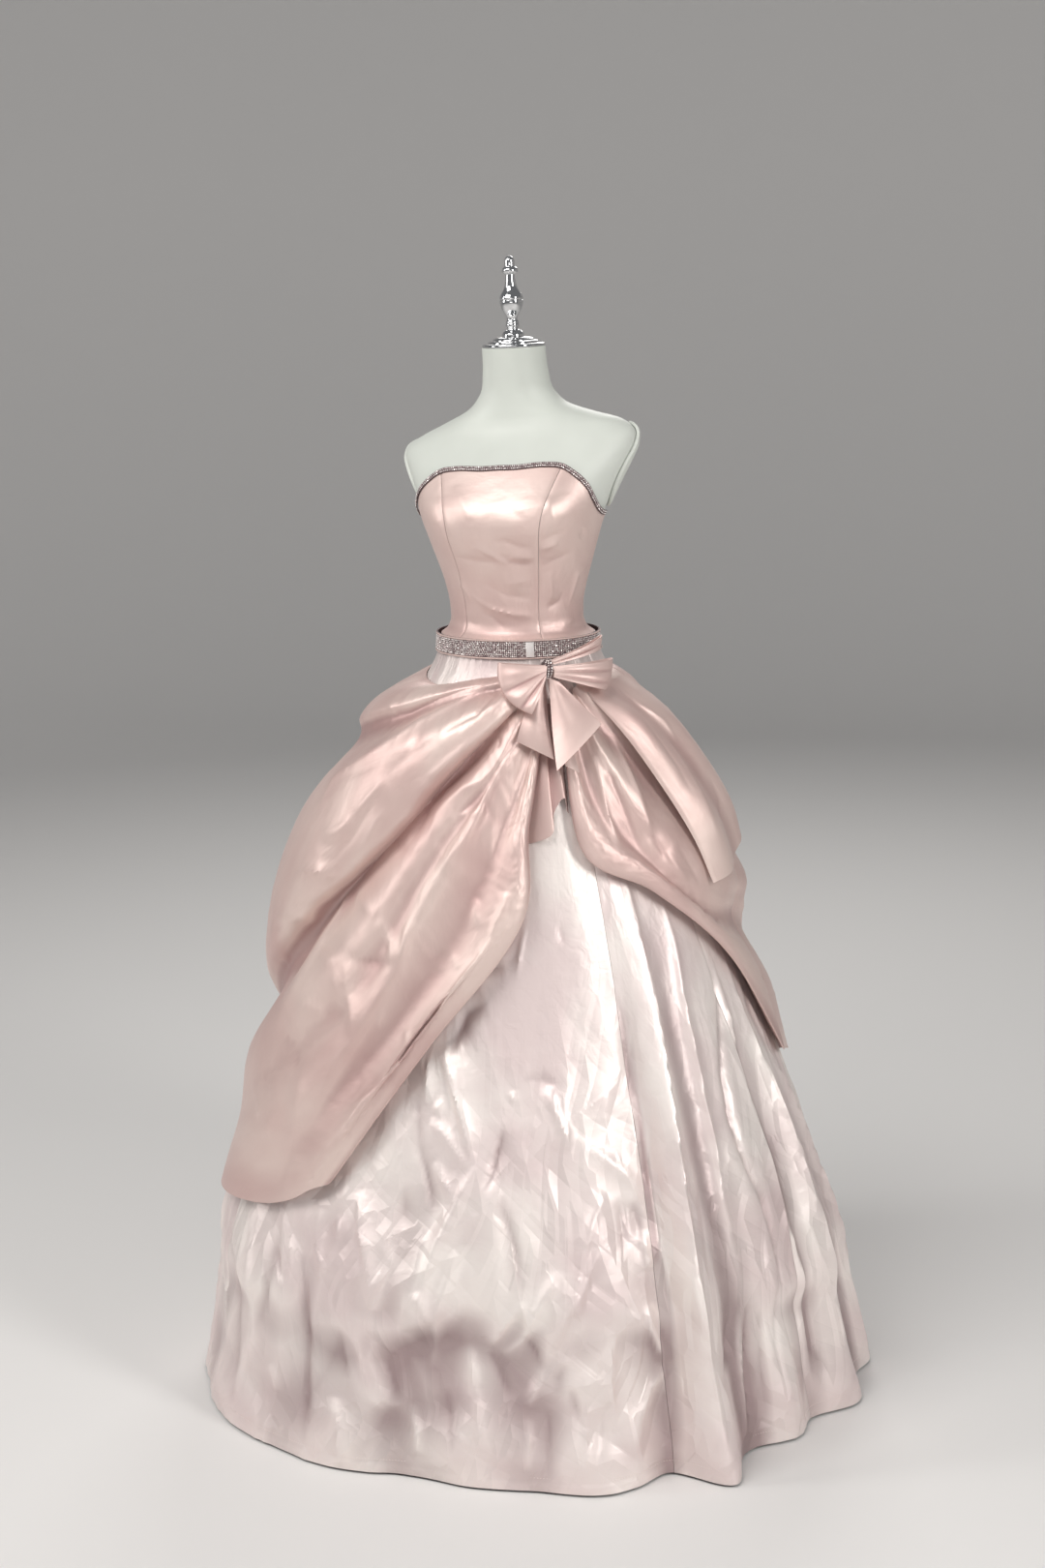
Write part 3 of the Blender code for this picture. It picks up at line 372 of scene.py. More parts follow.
# Turned metal: height over the neck, radius. A corner is given twice
CAP_PROFILE = [
    (.0000, .0452), (.0006, .0458), (.0016, .0460), (.0028, .0460), (.0038, .0452), (.0045, .0436),
    (.0048, .0415), (.0048, .0415), (.0050, .0372), (.0050, .0372), (.0060, .0371), (.0072, .0366),
    (.0080, .0356), (.0086, .0335), (.0086, .0335), (.0089, .0302), (.0089, .0302), (.0100, .0299),
    (.0112, .0288), (.0122, .0268), (.0132, .0235), (.0140, .0180),
]
FINIAL_PROFILE = [
    (.0145, .0162), (.0158, .0164), (.0175, .0162), (.0190, .0154), (.0205, .0142), (.0222, .0124),
    (.0235, .0112), (.0235, .0112), (.0240, .0092), (.0246, .0087), (.0246, .0087), (.0256, .0084),
    (.0266, .0086), (.0266, .0086), (.0276, .0094), (.0290, .0099), (.0305, .0101), (.0320, .0099),
    (.0332, .0093), (.0332, .0093), (.0344, .0095), (.0356, .0092), (.0368, .0084), (.0380, .0079),
    (.0395, .0078), (.0410, .0080), (.0430, .0087), (.0450, .0096), (.0475, .0111), (.0500, .0126),
    (.0525, .0140), (.0550, .0150), (.0580, .0160), (.0610, .0167), (.0635, .0170), (.0655, .0169),
    (.0655, .0169), (.0660, .0164), (.0668, .0163), (.0668, .0163), (.0674, .0169), (.0684, .0173),
    (.0697, .0173), (.0705, .0169), (.0705, .0169), (.0712, .0167), (.0730, .0160), (.0748, .0150),
    (.0765, .0138), (.0788, .0123), (.0810, .0110), (.0838, .0098), (.0865, .0089), (.0902, .0081),
    (.0940, .0075), (.0985, .0069), (.1025, .0067), (.1025, .0067), (.1030, .0078), (.1040, .0095),
    (.1052, .0108), (.1066, .0115), (.1080, .0118), (.1094, .0116), (.1108, .0110), (.1120, .0098),
    (.1128, .0086), (.1128, .0086), (.1136, .0078), (.1150, .0075), (.1175, .0075), (.1200, .0075),
    (.1225, .0072), (.1248, .0064), (.1266, .0051), (.1278, .0036), (.1285, .0020),
]

# Creases: millimetres that one stands out (a trough is negative), its spread in millimetres on its
# right and on its left, then its points as turn and height
SKIRT_CREASES = [
    (-2.5, 12, 12, (-65.7, 0.289), (-52.0, 0.238), (-48.7, 0.186), (-46.2, 0.102), (-44.1, 0.004)),
    (3.0, 14, 9, (-48.0, 0.326), (-45.0, 0.271), (-42.6, 0.219), (-40.8, 0.149), (-42.6, 0.114),
     (-43.6, 0.051)),
    (-3.0, 12, 12, (-38.5, 0.351), (-36.8, 0.304), (-37.1, 0.246), (-39.2, 0.182), (-41.0, 0.152)),
    (-2.5, 7, 8, (-36.9, 0.291), (-35.2, 0.266), (-32.7, 0.249)),
    (-5.0, 8, 18, (-31.5, 0.329), (-27.8, 0.253), (-26.6, 0.184), (-26.4, 0.114), (-25.2, 0.042),
     (-24.2, 0.016)),
    (3.5, 8, 16, (-12.1, 0.201), (-13.3, 0.166), (-11.7, 0.126), (-9.6, 0.096)),
    (-3.0, 8, 8, (-10.5, 0.169), (-9.1, 0.127), (-8.7, 0.106)),
    (3.0, 10, 8, (-16.3, 0.231), (-15.2, 0.191), (-14.2, 0.151), (-12.6, 0.111), (-10.2, 0.089)),
    (4.5, 7, 16, (-18.9, 0.404), (-17.0, 0.366), (-14.7, 0.329), (-13.1, 0.291), (-12.4, 0.258),
     (-11.7, 0.244)),
    (2.0, 7, 7, (-22.4, 0.366), (-21.4, 0.333)),
    (3.0, 12, 8, (-9.8, 0.341), (-10.7, 0.308), (-11.4, 0.266), (-11.6, 0.244)),
    (-2.5, 12, 14, (-9.3, 0.423), (-7.7, 0.363)),
    (-4.0, 5, 12, (-7.3, 0.478), (-4.9, 0.446), (-2.8, 0.401), (-2.3, 0.388)),
    (3.5, 10, 7, (-3.3, 0.461), (-0.7, 0.436), (1.6, 0.411)),
    (6.0, 16, 22, (7.2, 0.478), (3.7, 0.431), (0.7, 0.383), (-1.2, 0.343), (-2.6, 0.294), (-4.9, 0.259),
     (-5.6, 0.223)),
    (3.5, 10, 14, (3.9, 0.353), (2.3, 0.318), (0.9, 0.278), (-0.2, 0.243), (-0.9, 0.208), (-2.1, 0.164)),
    (-5.0, 6, 14, (11.0, 0.513), (9.8, 0.479), (8.8, 0.446), (7.0, 0.426)),
    (-4.5, 16, 9, (10.5, 0.421), (12.3, 0.381), (13.7, 0.349), (14.5, 0.309), (14.9, 0.289)),
    (4.5, 14, 7, (15.4, 0.278), (12.6, 0.251), (10.5, 0.223), (8.9, 0.206)),
    (3.5, 9, 14, (18.6, 0.278), (16.8, 0.253), (15.1, 0.224), (12.4, 0.204), (10.9, 0.196)),
    (-3.5, 9, 9, (8.9, 0.201), (10.3, 0.176), (11.4, 0.147), (11.7, 0.134)),
    (3.0, 8, 8, (-4.0, 0.283), (-2.6, 0.261), (-1.4, 0.234)),
    (3.5, 10, 8, (-19.8, 0.104), (-18.4, 0.066), (-17.9, 0.031), (-16.8, 0.009)),
    (2.5, 8, 8, (-34.8, 0.122), (-33.3, 0.104), (-32.6, 0.084)),
    (2.5, 6, 6, (13.3, 0.559), (12.3, 0.548)),
    (-2.5, 6, 10, (14.4, 0.579), (19.3, 0.576), (24.4, 0.566)),
    (4.0, 12, 7, (20.5, 0.568), (21.9, 0.538), (23.8, 0.504), (24.7, 0.484)),
    (3.0, 16, 7, (26.6, 0.491), (30.7, 0.476), (34.5, 0.453), (38.4, 0.424), (40.1, 0.414)),
    (-8.5, 14, 20, (42.2, 0.666), (42.2, 0.615), (41.5, 0.548), (41.5, 0.483), (41.2, 0.414),
     (41.3, 0.348), (41.9, 0.283), (42.0, 0.229), (41.7, 0.144), (41.2, 0.041)),
    (5.0, 16, 12, (30.8, 0.423), (27.9, 0.386), (26.1, 0.348), (24.9, 0.323), (23.7, 0.284),
     (21.7, 0.246), (19.4, 0.206), (17.9, 0.171)),
    (4.0, 12, 8, (28.9, 0.348), (26.6, 0.316), (24.9, 0.284), (24.2, 0.258)),
    (-3.0, 8, 8, (33.6, 0.408), (34.2, 0.381), (34.0, 0.341)),
    (4.0, 14, 9, (21.7, 0.318), (19.4, 0.291), (17.3, 0.266), (15.6, 0.238)),
    (-4.0, 9, 9, (15.1, 0.231), (17.0, 0.204), (18.0, 0.177)),
    (3.0, 9, 9, (38.0, 0.358), (38.4, 0.334), (38.7, 0.308)),
    (-3.0, 10, 10, (36.1, 0.404), (37.0, 0.373), (37.3, 0.349)),
    (3.5, 12, 9, (37.7, 0.261), (37.8, 0.226), (38.7, 0.197), (40.1, 0.169)),
    (3.0, 14, 9, (39.8, 0.162), (36.4, 0.131), (33.8, 0.097), (31.4, 0.046)),
    (3.5, 10, 8, (30.8, 0.241), (29.8, 0.201), (29.1, 0.147), (29.3, 0.092)),
    (-3.0, 8, 8, (22.1, 0.186), (20.7, 0.166), (20.0, 0.144)),
    (-3.0, 7, 7, (22.4, 0.152), (22.8, 0.132), (23.1, 0.112)),
    (3.0, 8, 8, (18.0, 0.177), (16.5, 0.149), (15.1, 0.122)),
    (-3.0, 7, 7, (18.6, 0.124), (18.0, 0.066), (17.9, 0.022)),
    (2.5, 6, 6, (15.1, 0.107), (14.9, 0.072), (14.5, 0.034)),
    (2.5, 7, 7, (25.6, 0.179), (24.4, 0.112), (23.1, 0.026)),
    (-2.5, 7, 7, (27.9, 0.136), (26.1, 0.069), (25.2, 0.026)),
    (4.5, 7, 18, (-5.9, 0.611), (-4.0, 0.598), (-1.7, 0.573), (1.1, 0.536), (3.3, 0.496), (4.9, 0.464)),
    (3.5, 14, 7, (-4.9, 0.518), (-1.2, 0.499), (2.3, 0.471), (4.4, 0.458)),
    (2.5, 7, 7, (-3.0, 0.544), (-4.5, 0.526)),
    (-3.0, 14, 14, (-10.2, 0.548), (-8.4, 0.523), (-7.2, 0.491), (-5.8, 0.464)),
    (3.0, 7, 10, (-8.2, 0.61), (-7.5, 0.576), (-6.5, 0.538)),
    (-6.0, 24, 20, (4.9, 0.681), (0.2, 0.661), (-3.3, 0.606)),
    (-3.0, 5, 6, (2.6, 0.733), (5.4, 0.728), (9.6, 0.728)),
    (1.6, 6, 6, (15.9, 0.788), (14.2, 0.755), (13.1, 0.715)),
    (-1.6, 8, 8, (25.4, 0.786), (26.8, 0.76)),
    (-4.0, 18, 18, (40.5, 0.695), (41.0, 0.64), (40.6, 0.586), (40.1, 0.533)),
    (7.5, 34, 6, (49.9, 0.851), (50.1, 0.803), (49.4, 0.751), (49.7, 0.703), (49.0, 0.643), (48.0, 0.584),
     (47.1, 0.533), (46.4, 0.481), (45.9, 0.443), (45.4, 0.378), (45.2, 0.311), (45.4, 0.278),
     (45.5, 0.233), (45.5, 0.176), (45.4, 0.126), (45.2, 0.084), (45.0, 0.004)),
    (5.5, 14, 18, (62.0, 0.81), (61.8, 0.74), (59.7, 0.68), (58.7, 0.611), (58.2, 0.556), (57.8, 0.503),
     (57.6, 0.446), (56.9, 0.393), (57.3, 0.336), (58.0, 0.278), (58.5, 0.226)),
    (5.0, 12, 10, (58.3, 0.213), (55.5, 0.124), (54.1, 0.022)),
    (5.0, 20, 8, (77.1, 0.74), (76.2, 0.69), (76.0, 0.633), (75.0, 0.591), (74.1, 0.556), (73.7, 0.506),
     (74.1, 0.463), (73.9, 0.411), (74.3, 0.359), (74.4, 0.308), (75.3, 0.254), (76.0, 0.192),
     (75.5, 0.134), (76.0, 0.071), (77.1, 0.032)),
    (-5.0, 9, 12, (76.2, 0.746), (76.4, 0.705), (73.7, 0.65), (66.2, 0.546), (64.8, 0.493), (65.3, 0.436),
     (66.4, 0.391), (68.0, 0.359), (68.3, 0.316), (68.5, 0.273), (68.1, 0.244), (64.8, 0.136),
     (65.3, 0.076)),
    (6.0, 16, 10, (85.1, 0.715), (83.4, 0.666), (82.5, 0.616), (83.0, 0.564), (83.7, 0.511),
     (83.6, 0.459), (84.1, 0.414), (83.9, 0.369), (84.1, 0.324), (84.6, 0.278), (84.3, 0.218),
     (84.8, 0.156), (84.1, 0.096), (85.0, 0.046)),
    (-5.0, 14, 14, (75.5, 0.605), (75.0, 0.533), (74.8, 0.461), (75.1, 0.416)),
    (-4.5, 12, 12, (94.6, 0.665), (89.9, 0.611), (94.4, 0.543), (98.8, 0.473), (98.8, 0.411),
     (99.5, 0.346), (96.7, 0.274)),
    (-4.0, 8, 9, (77.9, 0.204), (77.8, 0.112), (79.9, 0.061)),
    (-5.0, 9, 9, (54.8, 0.213), (52.7, 0.162), (46.6, 0.136)),
    (-5.0, 8, 9, (60.1, 0.218), (57.1, 0.119), (55.5, 0.032)),
    (-4.0, 8, 8, (62.7, 0.206), (60.8, 0.084), (60.1, 0.039)),
    (3.0, 9, 9, (-5.9, 0.109), (-4.7, 0.072), (-4.4, 0.036)),
    (-3.0, 9, 9, (0.5, 0.139), (1.4, 0.097), (1.8, 0.046)),
    (3.0, 9, 9, (6.1, 0.146), (6.5, 0.104), (6.8, 0.059)),
    (3.0, 9, 12, (-27.3, 0.366), (-25.9, 0.313), (-23.1, 0.276)),
    (-2.5, 8, 8, (-18.2, 0.214), (-18.6, 0.172), (-17.7, 0.132)),
    (3.0, 9, 9, (5.1, 0.206), (6.0, 0.172), (5.4, 0.131)),
    (-2.5, 7, 7, (-40.1, 0.268), (-37.8, 0.231), (-37.1, 0.189)),
    (2.5, 8, 8, (-65.0, 0.196), (-56.2, 0.162), (-53.4, 0.109)),
]
SKIRT_CREASES += [
    # Wearer's left, behind the side seam
    (5.0, 18, 9, (92.0, 0.640), (96.0, 0.480), (99.5, 0.330), (102.0, 0.180), (103.0, 0.020)),
    (-6.0, 12, 16, (99.0, 0.560), (104.0, 0.420), (107.5, 0.260), (109.0, 0.090)),
    (4.5, 16, 10, (110.0, 0.700), (113.0, 0.520), (114.5, 0.360), (117.0, 0.210), (116.0, 0.060)),
    (-4.0, 9, 14, (119.0, 0.430), (121.5, 0.330), (124.0, 0.200), (125.5, 0.110)),
    (3.0, 9, 7, (104.0, 0.300), (108.0, 0.240), (111.5, 0.150)),
    (-3.0, 7, 9, (95.0, 0.260), (98.0, 0.190), (99.0, 0.090)),
    # Back
    (5.5, 20, 12, (134.0, 0.580), (137.0, 0.430), (139.0, 0.270), (141.5, 0.120), (142.0, 0.015)),
    (-6.0, 14, 16, (147.0, 0.540), (149.5, 0.380), (150.5, 0.220), (149.0, 0.060)),
    (4.0, 10, 18, (159.0, 0.500), (158.0, 0.360), (160.5, 0.210), (162.0, 0.040)),
    (3.5, 13, 8, (171.0, 0.420), (169.5, 0.300), (167.0, 0.180), (168.0, 0.080)),
    (-4.5, 12, 10, (177.0, 0.380), (176.0, 0.260), (174.0, 0.150), (175.0, 0.030)),
    (3.0, 8, 7, (141.0, 0.240), (145.0, 0.180), (147.0, 0.130)),
    (-3.0, 7, 7, (155.0, 0.190), (152.5, 0.120), (153.0, 0.060)),
    (5.0, 12, 16, (-173.0, 0.520), (-174.0, 0.380), (-171.5, 0.230), (-170.0, 0.070)),
    (-5.0, 10, 15, (-164.0, 0.480), (-162.0, 0.340), (-163.0, 0.190), (-160.5, 0.050)),
    (4.0, 16, 9, (-152.0, 0.560), (-153.5, 0.400), (-151.0, 0.250), (-149.0, 0.110), (-149.5, 0.010)),
    (-4.0, 9, 9, (-142.0, 0.400), (-144.0, 0.290), (-142.5, 0.160)),
    (3.5, 8, 12, (-136.0, 0.330), (-138.5, 0.240), (-138.0, 0.130), (-135.5, 0.040)),
    (-3.0, 8, 7, (-157.0, 0.200), (-155.0, 0.140), (-156.0, 0.080)),
    (2.5, 7, 7, (-168.0, 0.330), (-165.5, 0.280), (-165.0, 0.230)),
    # Wearer's right
    (5.0, 14, 10, (-127.0, 0.480), (-124.5, 0.350), (-126.0, 0.210), (-124.0, 0.060)),
    (-5.0, 12, 14, (-117.0, 0.440), (-118.5, 0.320), (-116.0, 0.190), (-117.0, 0.040)),
    (4.0, 9, 15, (-108.0, 0.400), (-105.5, 0.280), (-107.0, 0.160), (-105.0, 0.050)),
    (-3.5, 10, 8, (-99.0, 0.360), (-100.5, 0.250), (-98.0, 0.140)),
    (3.5, 8, 9, (-89.0, 0.340), (-86.5, 0.230), (-88.0, 0.120), (-86.0, 0.020)),
    (-4.0, 9, 12, (-81.0, 0.350), (-78.5, 0.240), (-80.0, 0.130)),
    (4.0, 12, 9, (-73.0, 0.340), (-74.0, 0.240), (-71.5, 0.130), (-72.0, 0.030)),
    (-3.0, 7, 8, (-94.0, 0.190), (-91.5, 0.130), (-92.0, 0.070)),
]
DRAPE_RIGHT_CREASES = [
    (-3.0, 4, 5, (3.2, 1.124), (-4.7, 1.119), (-13.3, 1.112), (-22.1, 1.101), (-28.3, 1.09),
     (-34.4, 1.078), (-40.2, 1.067)),
    (1.5, 4, 4, (-49.3, 1.09), (-43.8, 1.08), (-41.7, 1.068)),
    (4.5, 12, 10, (-2.4, 1.117), (-10.5, 1.1), (-19.4, 1.082), (-26.7, 1.064), (-30.3, 1.047),
     (-36.5, 1.023), (-42.9, 1.002), (-50.6, 0.98), (-51.4, 0.956), (-51.0, 0.932)),
    (-3.5, 4, 6, (7.1, 1.111), (2.4, 1.104), (-0.1, 1.095), (-1.7, 1.086), (-5.4, 1.08), (-9.2, 1.07),
     (-13.1, 1.061)),
    (-4.0, 12, 12, (-12.8, 1.059), (-16.9, 1.044), (-22.4, 1.027), (-27.0, 1.005), (-28.4, 0.998)),
    (-2.0, 6, 6, (-19.4, 1.051), (-21.3, 1.046), (-23.7, 1.04)),
    (2.5, 6, 7, (-27.4, 0.994), (-29.8, 0.978), (-32.8, 0.956), (-36.1, 0.937)),
    (5.0, 8, 20, (13.1, 1.095), (7.6, 1.082), (2.8, 1.067), (-2.0, 1.05), (-6.4, 1.034), (-10.3, 1.018),
     (-13.2, 1.004), (-16.0, 0.987), (-18.6, 0.969), (-20.9, 0.949), (-23.8, 0.933), (-27.5, 0.91),
     (-31.4, 0.887), (-36.0, 0.855), (-41.4, 0.822)),
    (-6.0, 12, 10, (10.4, 1.067), (4.4, 1.047), (-0.9, 1.026), (-6.7, 1.003), (-12.9, 0.979),
     (-16.9, 0.954), (-17.4, 0.935), (-18.5, 0.914), (-19.0, 0.902)),
    (-2.0, 4, 4, (7.1, 1.052), (7.1, 1.036)),
    (4.0, 11, 9, (16.4, 1.076), (12.5, 1.057), (9.0, 1.032), (5.3, 1.007), (1.2, 0.989), (-4.2, 0.981),
     (-9.3, 0.961), (-12.2, 0.948), (-12.2, 0.932), (-12.1, 0.913)),
    (-2.5, 8, 8, (3.1, 0.985), (0.1, 0.968), (-2.7, 0.953), (-7.1, 0.946)),
    (1.5, 4, 4, (-8.5, 0.94), (-2.6, 0.948), (2.0, 0.951), (3.9, 0.961)),
    (3.5, 7, 18, (4.0, 0.957), (0.8, 0.936), (-1.7, 0.913), (-4.9, 0.891), (-7.1, 0.867)),
    (-5.0, 24, 18, (9.4, 1.013), (5.9, 0.963), (2.0, 0.916), (-1.8, 0.872)),
    (-5.0, 26, 20, (-1.8, 0.872), (-6.5, 0.82), (-11.3, 0.783), (-15.4, 0.726), (-19.6, 0.665),
     (-23.8, 0.6), (-27.1, 0.547), (-30.2, 0.499)),
    (1.5, 9, 9, (6.0, 0.936), (5.8, 0.902), (6.4, 0.868)),
    (1.5, 8, 8, (12.9, 0.934), (13.4, 0.891)),
    (3.5, 5, 12, (21.7, 1.024), (19.2, 0.986), (17.1, 0.941), (16.0, 0.896), (15.4, 0.865)),
    (-1.5, 4, 4, (-27.7, 0.895), (-20.9, 0.89), (-16.1, 0.883)),
    (3.0, 7, 5, (-46.6, 0.908), (-40.4, 0.91), (-37.6, 0.922), (-35.8, 0.934)),
    (-2.0, 5, 5, (-46.2, 0.887), (-41.2, 0.892), (-37.6, 0.899)),
    (-2.0, 5, 5, (-44.2, 0.87), (-39.5, 0.871)),
    (2.5, 6, 5, (-49.2, 0.841), (-43.7, 0.85), (-39.8, 0.841)),
    (-3.5, 11, 9, (-29.5, 0.974), (-31.2, 0.945), (-34.2, 0.913), (-38.1, 0.883), (-40.8, 0.852)),
    (2.0, 6, 6, (-25.4, 0.953), (-28.2, 0.933), (-30.8, 0.903), (-33.2, 0.88)),
    (-2.0, 7, 6, (-48.3, 0.986), (-40.8, 0.995), (-33.7, 1.01), (-31.2, 1.022)),
    (3.0, 7, 5, (-55.3, 0.82), (-49.1, 0.844), (-43.8, 0.852), (-40.3, 0.841)),
    (-2.5, 6, 6, (-56.5, 0.799), (-52.3, 0.789), (-48.4, 0.789), (-45.0, 0.805)),
    (2.5, 6, 5, (-61.8, 0.76), (-54.6, 0.767), (-51.3, 0.769), (-53.2, 0.753)),
    (-2.0, 5, 5, (-65.3, 0.738), (-59.9, 0.739), (-58.3, 0.732)),
    (1.8, 5, 5, (-68.2, 0.691), (-67.5, 0.683), (-66.8, 0.669)),
    (-4.0, 11, 12, (-34.7, 0.87), (-43.9, 0.806), (-53.0, 0.739), (-57.1, 0.673), (-58.6, 0.622)),
    (4.0, 14, 9, (-35.6, 0.857), (-40.8, 0.815), (-42.3, 0.783), (-45.6, 0.748), (-47.2, 0.709),
     (-48.9, 0.671), (-52.1, 0.634), (-54.3, 0.601)),
    (2.5, 5, 6, (-36.6, 0.813), (-30.0, 0.81), (-24.4, 0.8)),
    (3.0, 6, 5, (-23.5, 0.794), (-21.9, 0.781), (-18.9, 0.766), (-17.3, 0.738)),
    (2.0, 5, 5, (-15.3, 0.793), (-14.8, 0.769), (-14.7, 0.747)),
    (-2.5, 9, 4, (-32.1, 0.731), (-27.5, 0.736), (-22.3, 0.735), (-17.7, 0.735)),
    (4.0, 6, 13, (-31.3, 0.726), (-29.8, 0.706), (-28.8, 0.682), (-26.0, 0.654), (-24.3, 0.628)),
    (2.0, 6, 6, (-34.2, 0.713), (-32.5, 0.693), (-31.0, 0.673), (-29.0, 0.66)),
    (2.2, 6, 6, (-52.1, 0.634), (-47.5, 0.624), (-44.7, 0.613), (-40.7, 0.601)),
    (2.2, 5, 5, (-44.8, 0.649), (-40.6, 0.649), (-36.9, 0.645), (-34.6, 0.64)),
    (-2.0, 6, 6, (-51.7, 0.607), (-48.1, 0.595), (-43.6, 0.586)),
    (-2.0, 6, 6, (-46.0, 0.736), (-37.4, 0.742), (-32.5, 0.739), (-28.5, 0.738)),
    (2.0, 5, 5, (-44.6, 0.719), (-38.6, 0.722), (-33.7, 0.723)),
    (2.0, 5, 5, (-58.9, 0.549), (-58.0, 0.528), (-54.9, 0.503), (-48.9, 0.49)),
    (2.5, 6, 6, (-62.7, 0.501), (-58.6, 0.488), (-51.5, 0.477), (-46.9, 0.472)),
    (-2.0, 6, 6, (-43.6, 0.586), (-40.6, 0.559), (-39.2, 0.54)),
    (2.0, 5, 5, (-50.3, 0.536), (-47.1, 0.515), (-43.9, 0.499)),
    (-2.2, 6, 6, (-62.8, 0.528), (-62.4, 0.505), (-61.4, 0.484), (-55.2, 0.474), (-51.2, 0.459),
     (-49.5, 0.441)),
    (1.8, 5, 5, (-45.8, 0.48), (-43.5, 0.456)),
    (-2.2, 7, 7, (-41.5, 0.536), (-40.2, 0.509), (-39.3, 0.481), (-39.1, 0.454)),
    (2.0, 7, 7, (-37.8, 0.553), (-36.5, 0.524), (-36.4, 0.491), (-36.5, 0.46)),
    (3.5, 12, 15, (-13.4, 0.8), (-15.4, 0.729), (-19.6, 0.681), (-24.1, 0.624), (-28.0, 0.586),
     (-30.6, 0.543), (-32.4, 0.504), (-33.2, 0.469)),
    (2.0, 6, 6, (2.7, 0.831), (2.6, 0.812), (3.8, 0.793)),
    (2.8, 7, 7, (10.3, 0.844), (10.9, 0.824), (8.6, 0.8), (7.9, 0.782)),
    (1.5, 3, 3, (-2.3, 0.755), (-0.5, 0.735)),
    (1.5, 3, 3, (-18.5, 0.669), (-19.0, 0.646)),
    (1.5, 3, 3, (-12.1, 0.65), (-10.4, 0.63)),
    (3.5, 7, 13, (13.3, 0.839), (12.5, 0.811), (9.6, 0.788), (5.9, 0.759), (2.6, 0.734), (-1.3, 0.704),
     (-5.0, 0.673), (-8.5, 0.64), (-11.7, 0.604), (-14.9, 0.573), (-19.1, 0.538), (-22.1, 0.498),
     (-25.7, 0.463), (-28.4, 0.425)),
    (-1.6, 4, 3, (7.6, 0.777), (9.3, 0.769)),
    (-1.8, 3, 4, (4.5, 0.753), (6.8, 0.742)),
    (-1.4, 3, 3, (1.2, 0.729), (3.0, 0.721)),
    (-1.8, 4, 3, (-4.4, 0.678), (-2.3, 0.667)),
    (-1.5, 3, 3, (-7.4, 0.652), (-5.5, 0.642)),
    (-1.5, 3, 4, (-10.3, 0.622), (-8.5, 0.613)),
    (-1.8, 3, 3, (-14.2, 0.586), (-12.4, 0.575)),
    (-2.0, 3, 4, (-20.2, 0.522), (-18.6, 0.52), (-16.8, 0.517)),
    (-1.5, 3, 3, (-22.1, 0.502), (-19.3, 0.496)),
    (-1.6, 4, 3, (-24.4, 0.473), (-21.8, 0.469)),
    (-1.6, 3, 3, (-26.7, 0.445), (-23.9, 0.442)),
    (-1.6, 3, 3, (-29.0, 0.417), (-26.4, 0.411)),
]
DRAPE_LEFT_CREASES = [
    (4.0, 7, 9, (45.7, 1.019), (46.0, 0.972), (45.7, 0.934), (47.2, 0.895)),
    (4.0, 14, 10, (59.6, 1.04), (58.5, 0.984), (58.1, 0.946), (59.2, 0.901)),
    (-4.0, 9, 9, (48.0, 1.025), (49.8, 0.979), (52.3, 0.928), (54.4, 0.886)),
    (-2.0, 6, 6, (48.2, 0.992), (50.4, 0.986), (51.4, 0.983)),
    (2.5, 12, 12, (62.8, 0.876), (65.3, 0.853), (69.0, 0.831)),
    (-2.5, 10, 10, (58.9, 0.92), (61.1, 0.884), (63.8, 0.849)),
    (-2.0, 9, 9, (67.5, 0.886), (70.8, 0.85), (74.8, 0.811)),
    (3.5, 10, 6, (39.6, 0.885), (45.4, 0.872), (51.3, 0.855), (57.0, 0.833), (63.4, 0.814), (69.7, 0.788),
     (73.6, 0.766), (78.0, 0.739), (84.1, 0.708), (88.4, 0.673), (93.0, 0.627), (96.9, 0.585)),
    (-1.5, 3, 3, (53.0, 0.85), (55.4, 0.856)),
    (-1.6, 3, 3, (59.5, 0.829), (64.0, 0.835)),
    (-1.8, 3, 3, (64.2, 0.809), (68.7, 0.815)),
    (-1.8, 3, 4, (67.3, 0.794), (72.7, 0.801)),
    (-2.0, 3, 3, (70.8, 0.777), (77.6, 0.779)),
    (-1.6, 3, 3, (74.6, 0.759), (83.1, 0.758)),
    (-1.8, 4, 3, (78.8, 0.736), (86.6, 0.733)),
    (-1.8, 3, 3, (82.4, 0.714), (89.8, 0.71)),
    (-1.6, 3, 3, (85.5, 0.69), (91.7, 0.685)),
    (-1.8, 3, 4, (88.8, 0.663), (97.0, 0.653)),
    (-1.5, 3, 3, (91.0, 0.635), (98.8, 0.623)),
    (-1.6, 3, 3, (93.0, 0.606), (98.5, 0.592)),
]
FLAP_CREASES = [
    (2.5, 6, 9, (75.0, 1.086), (79.1, 1.068), (83.4, 1.05), (84.7, 1.022)),
    (-2.0, 9, 9, (71.4, 1.064), (74.0, 1.029), (76.5, 0.993), (77.7, 0.95)),
    (1.8, 9, 9, (80.4, 1.031), (81.5, 0.975), (81.0, 0.92), (81.2, 0.877)),
    (-1.8, 8, 8, (93.9, 0.965), (93.5, 0.929), (88.2, 0.898)),
]
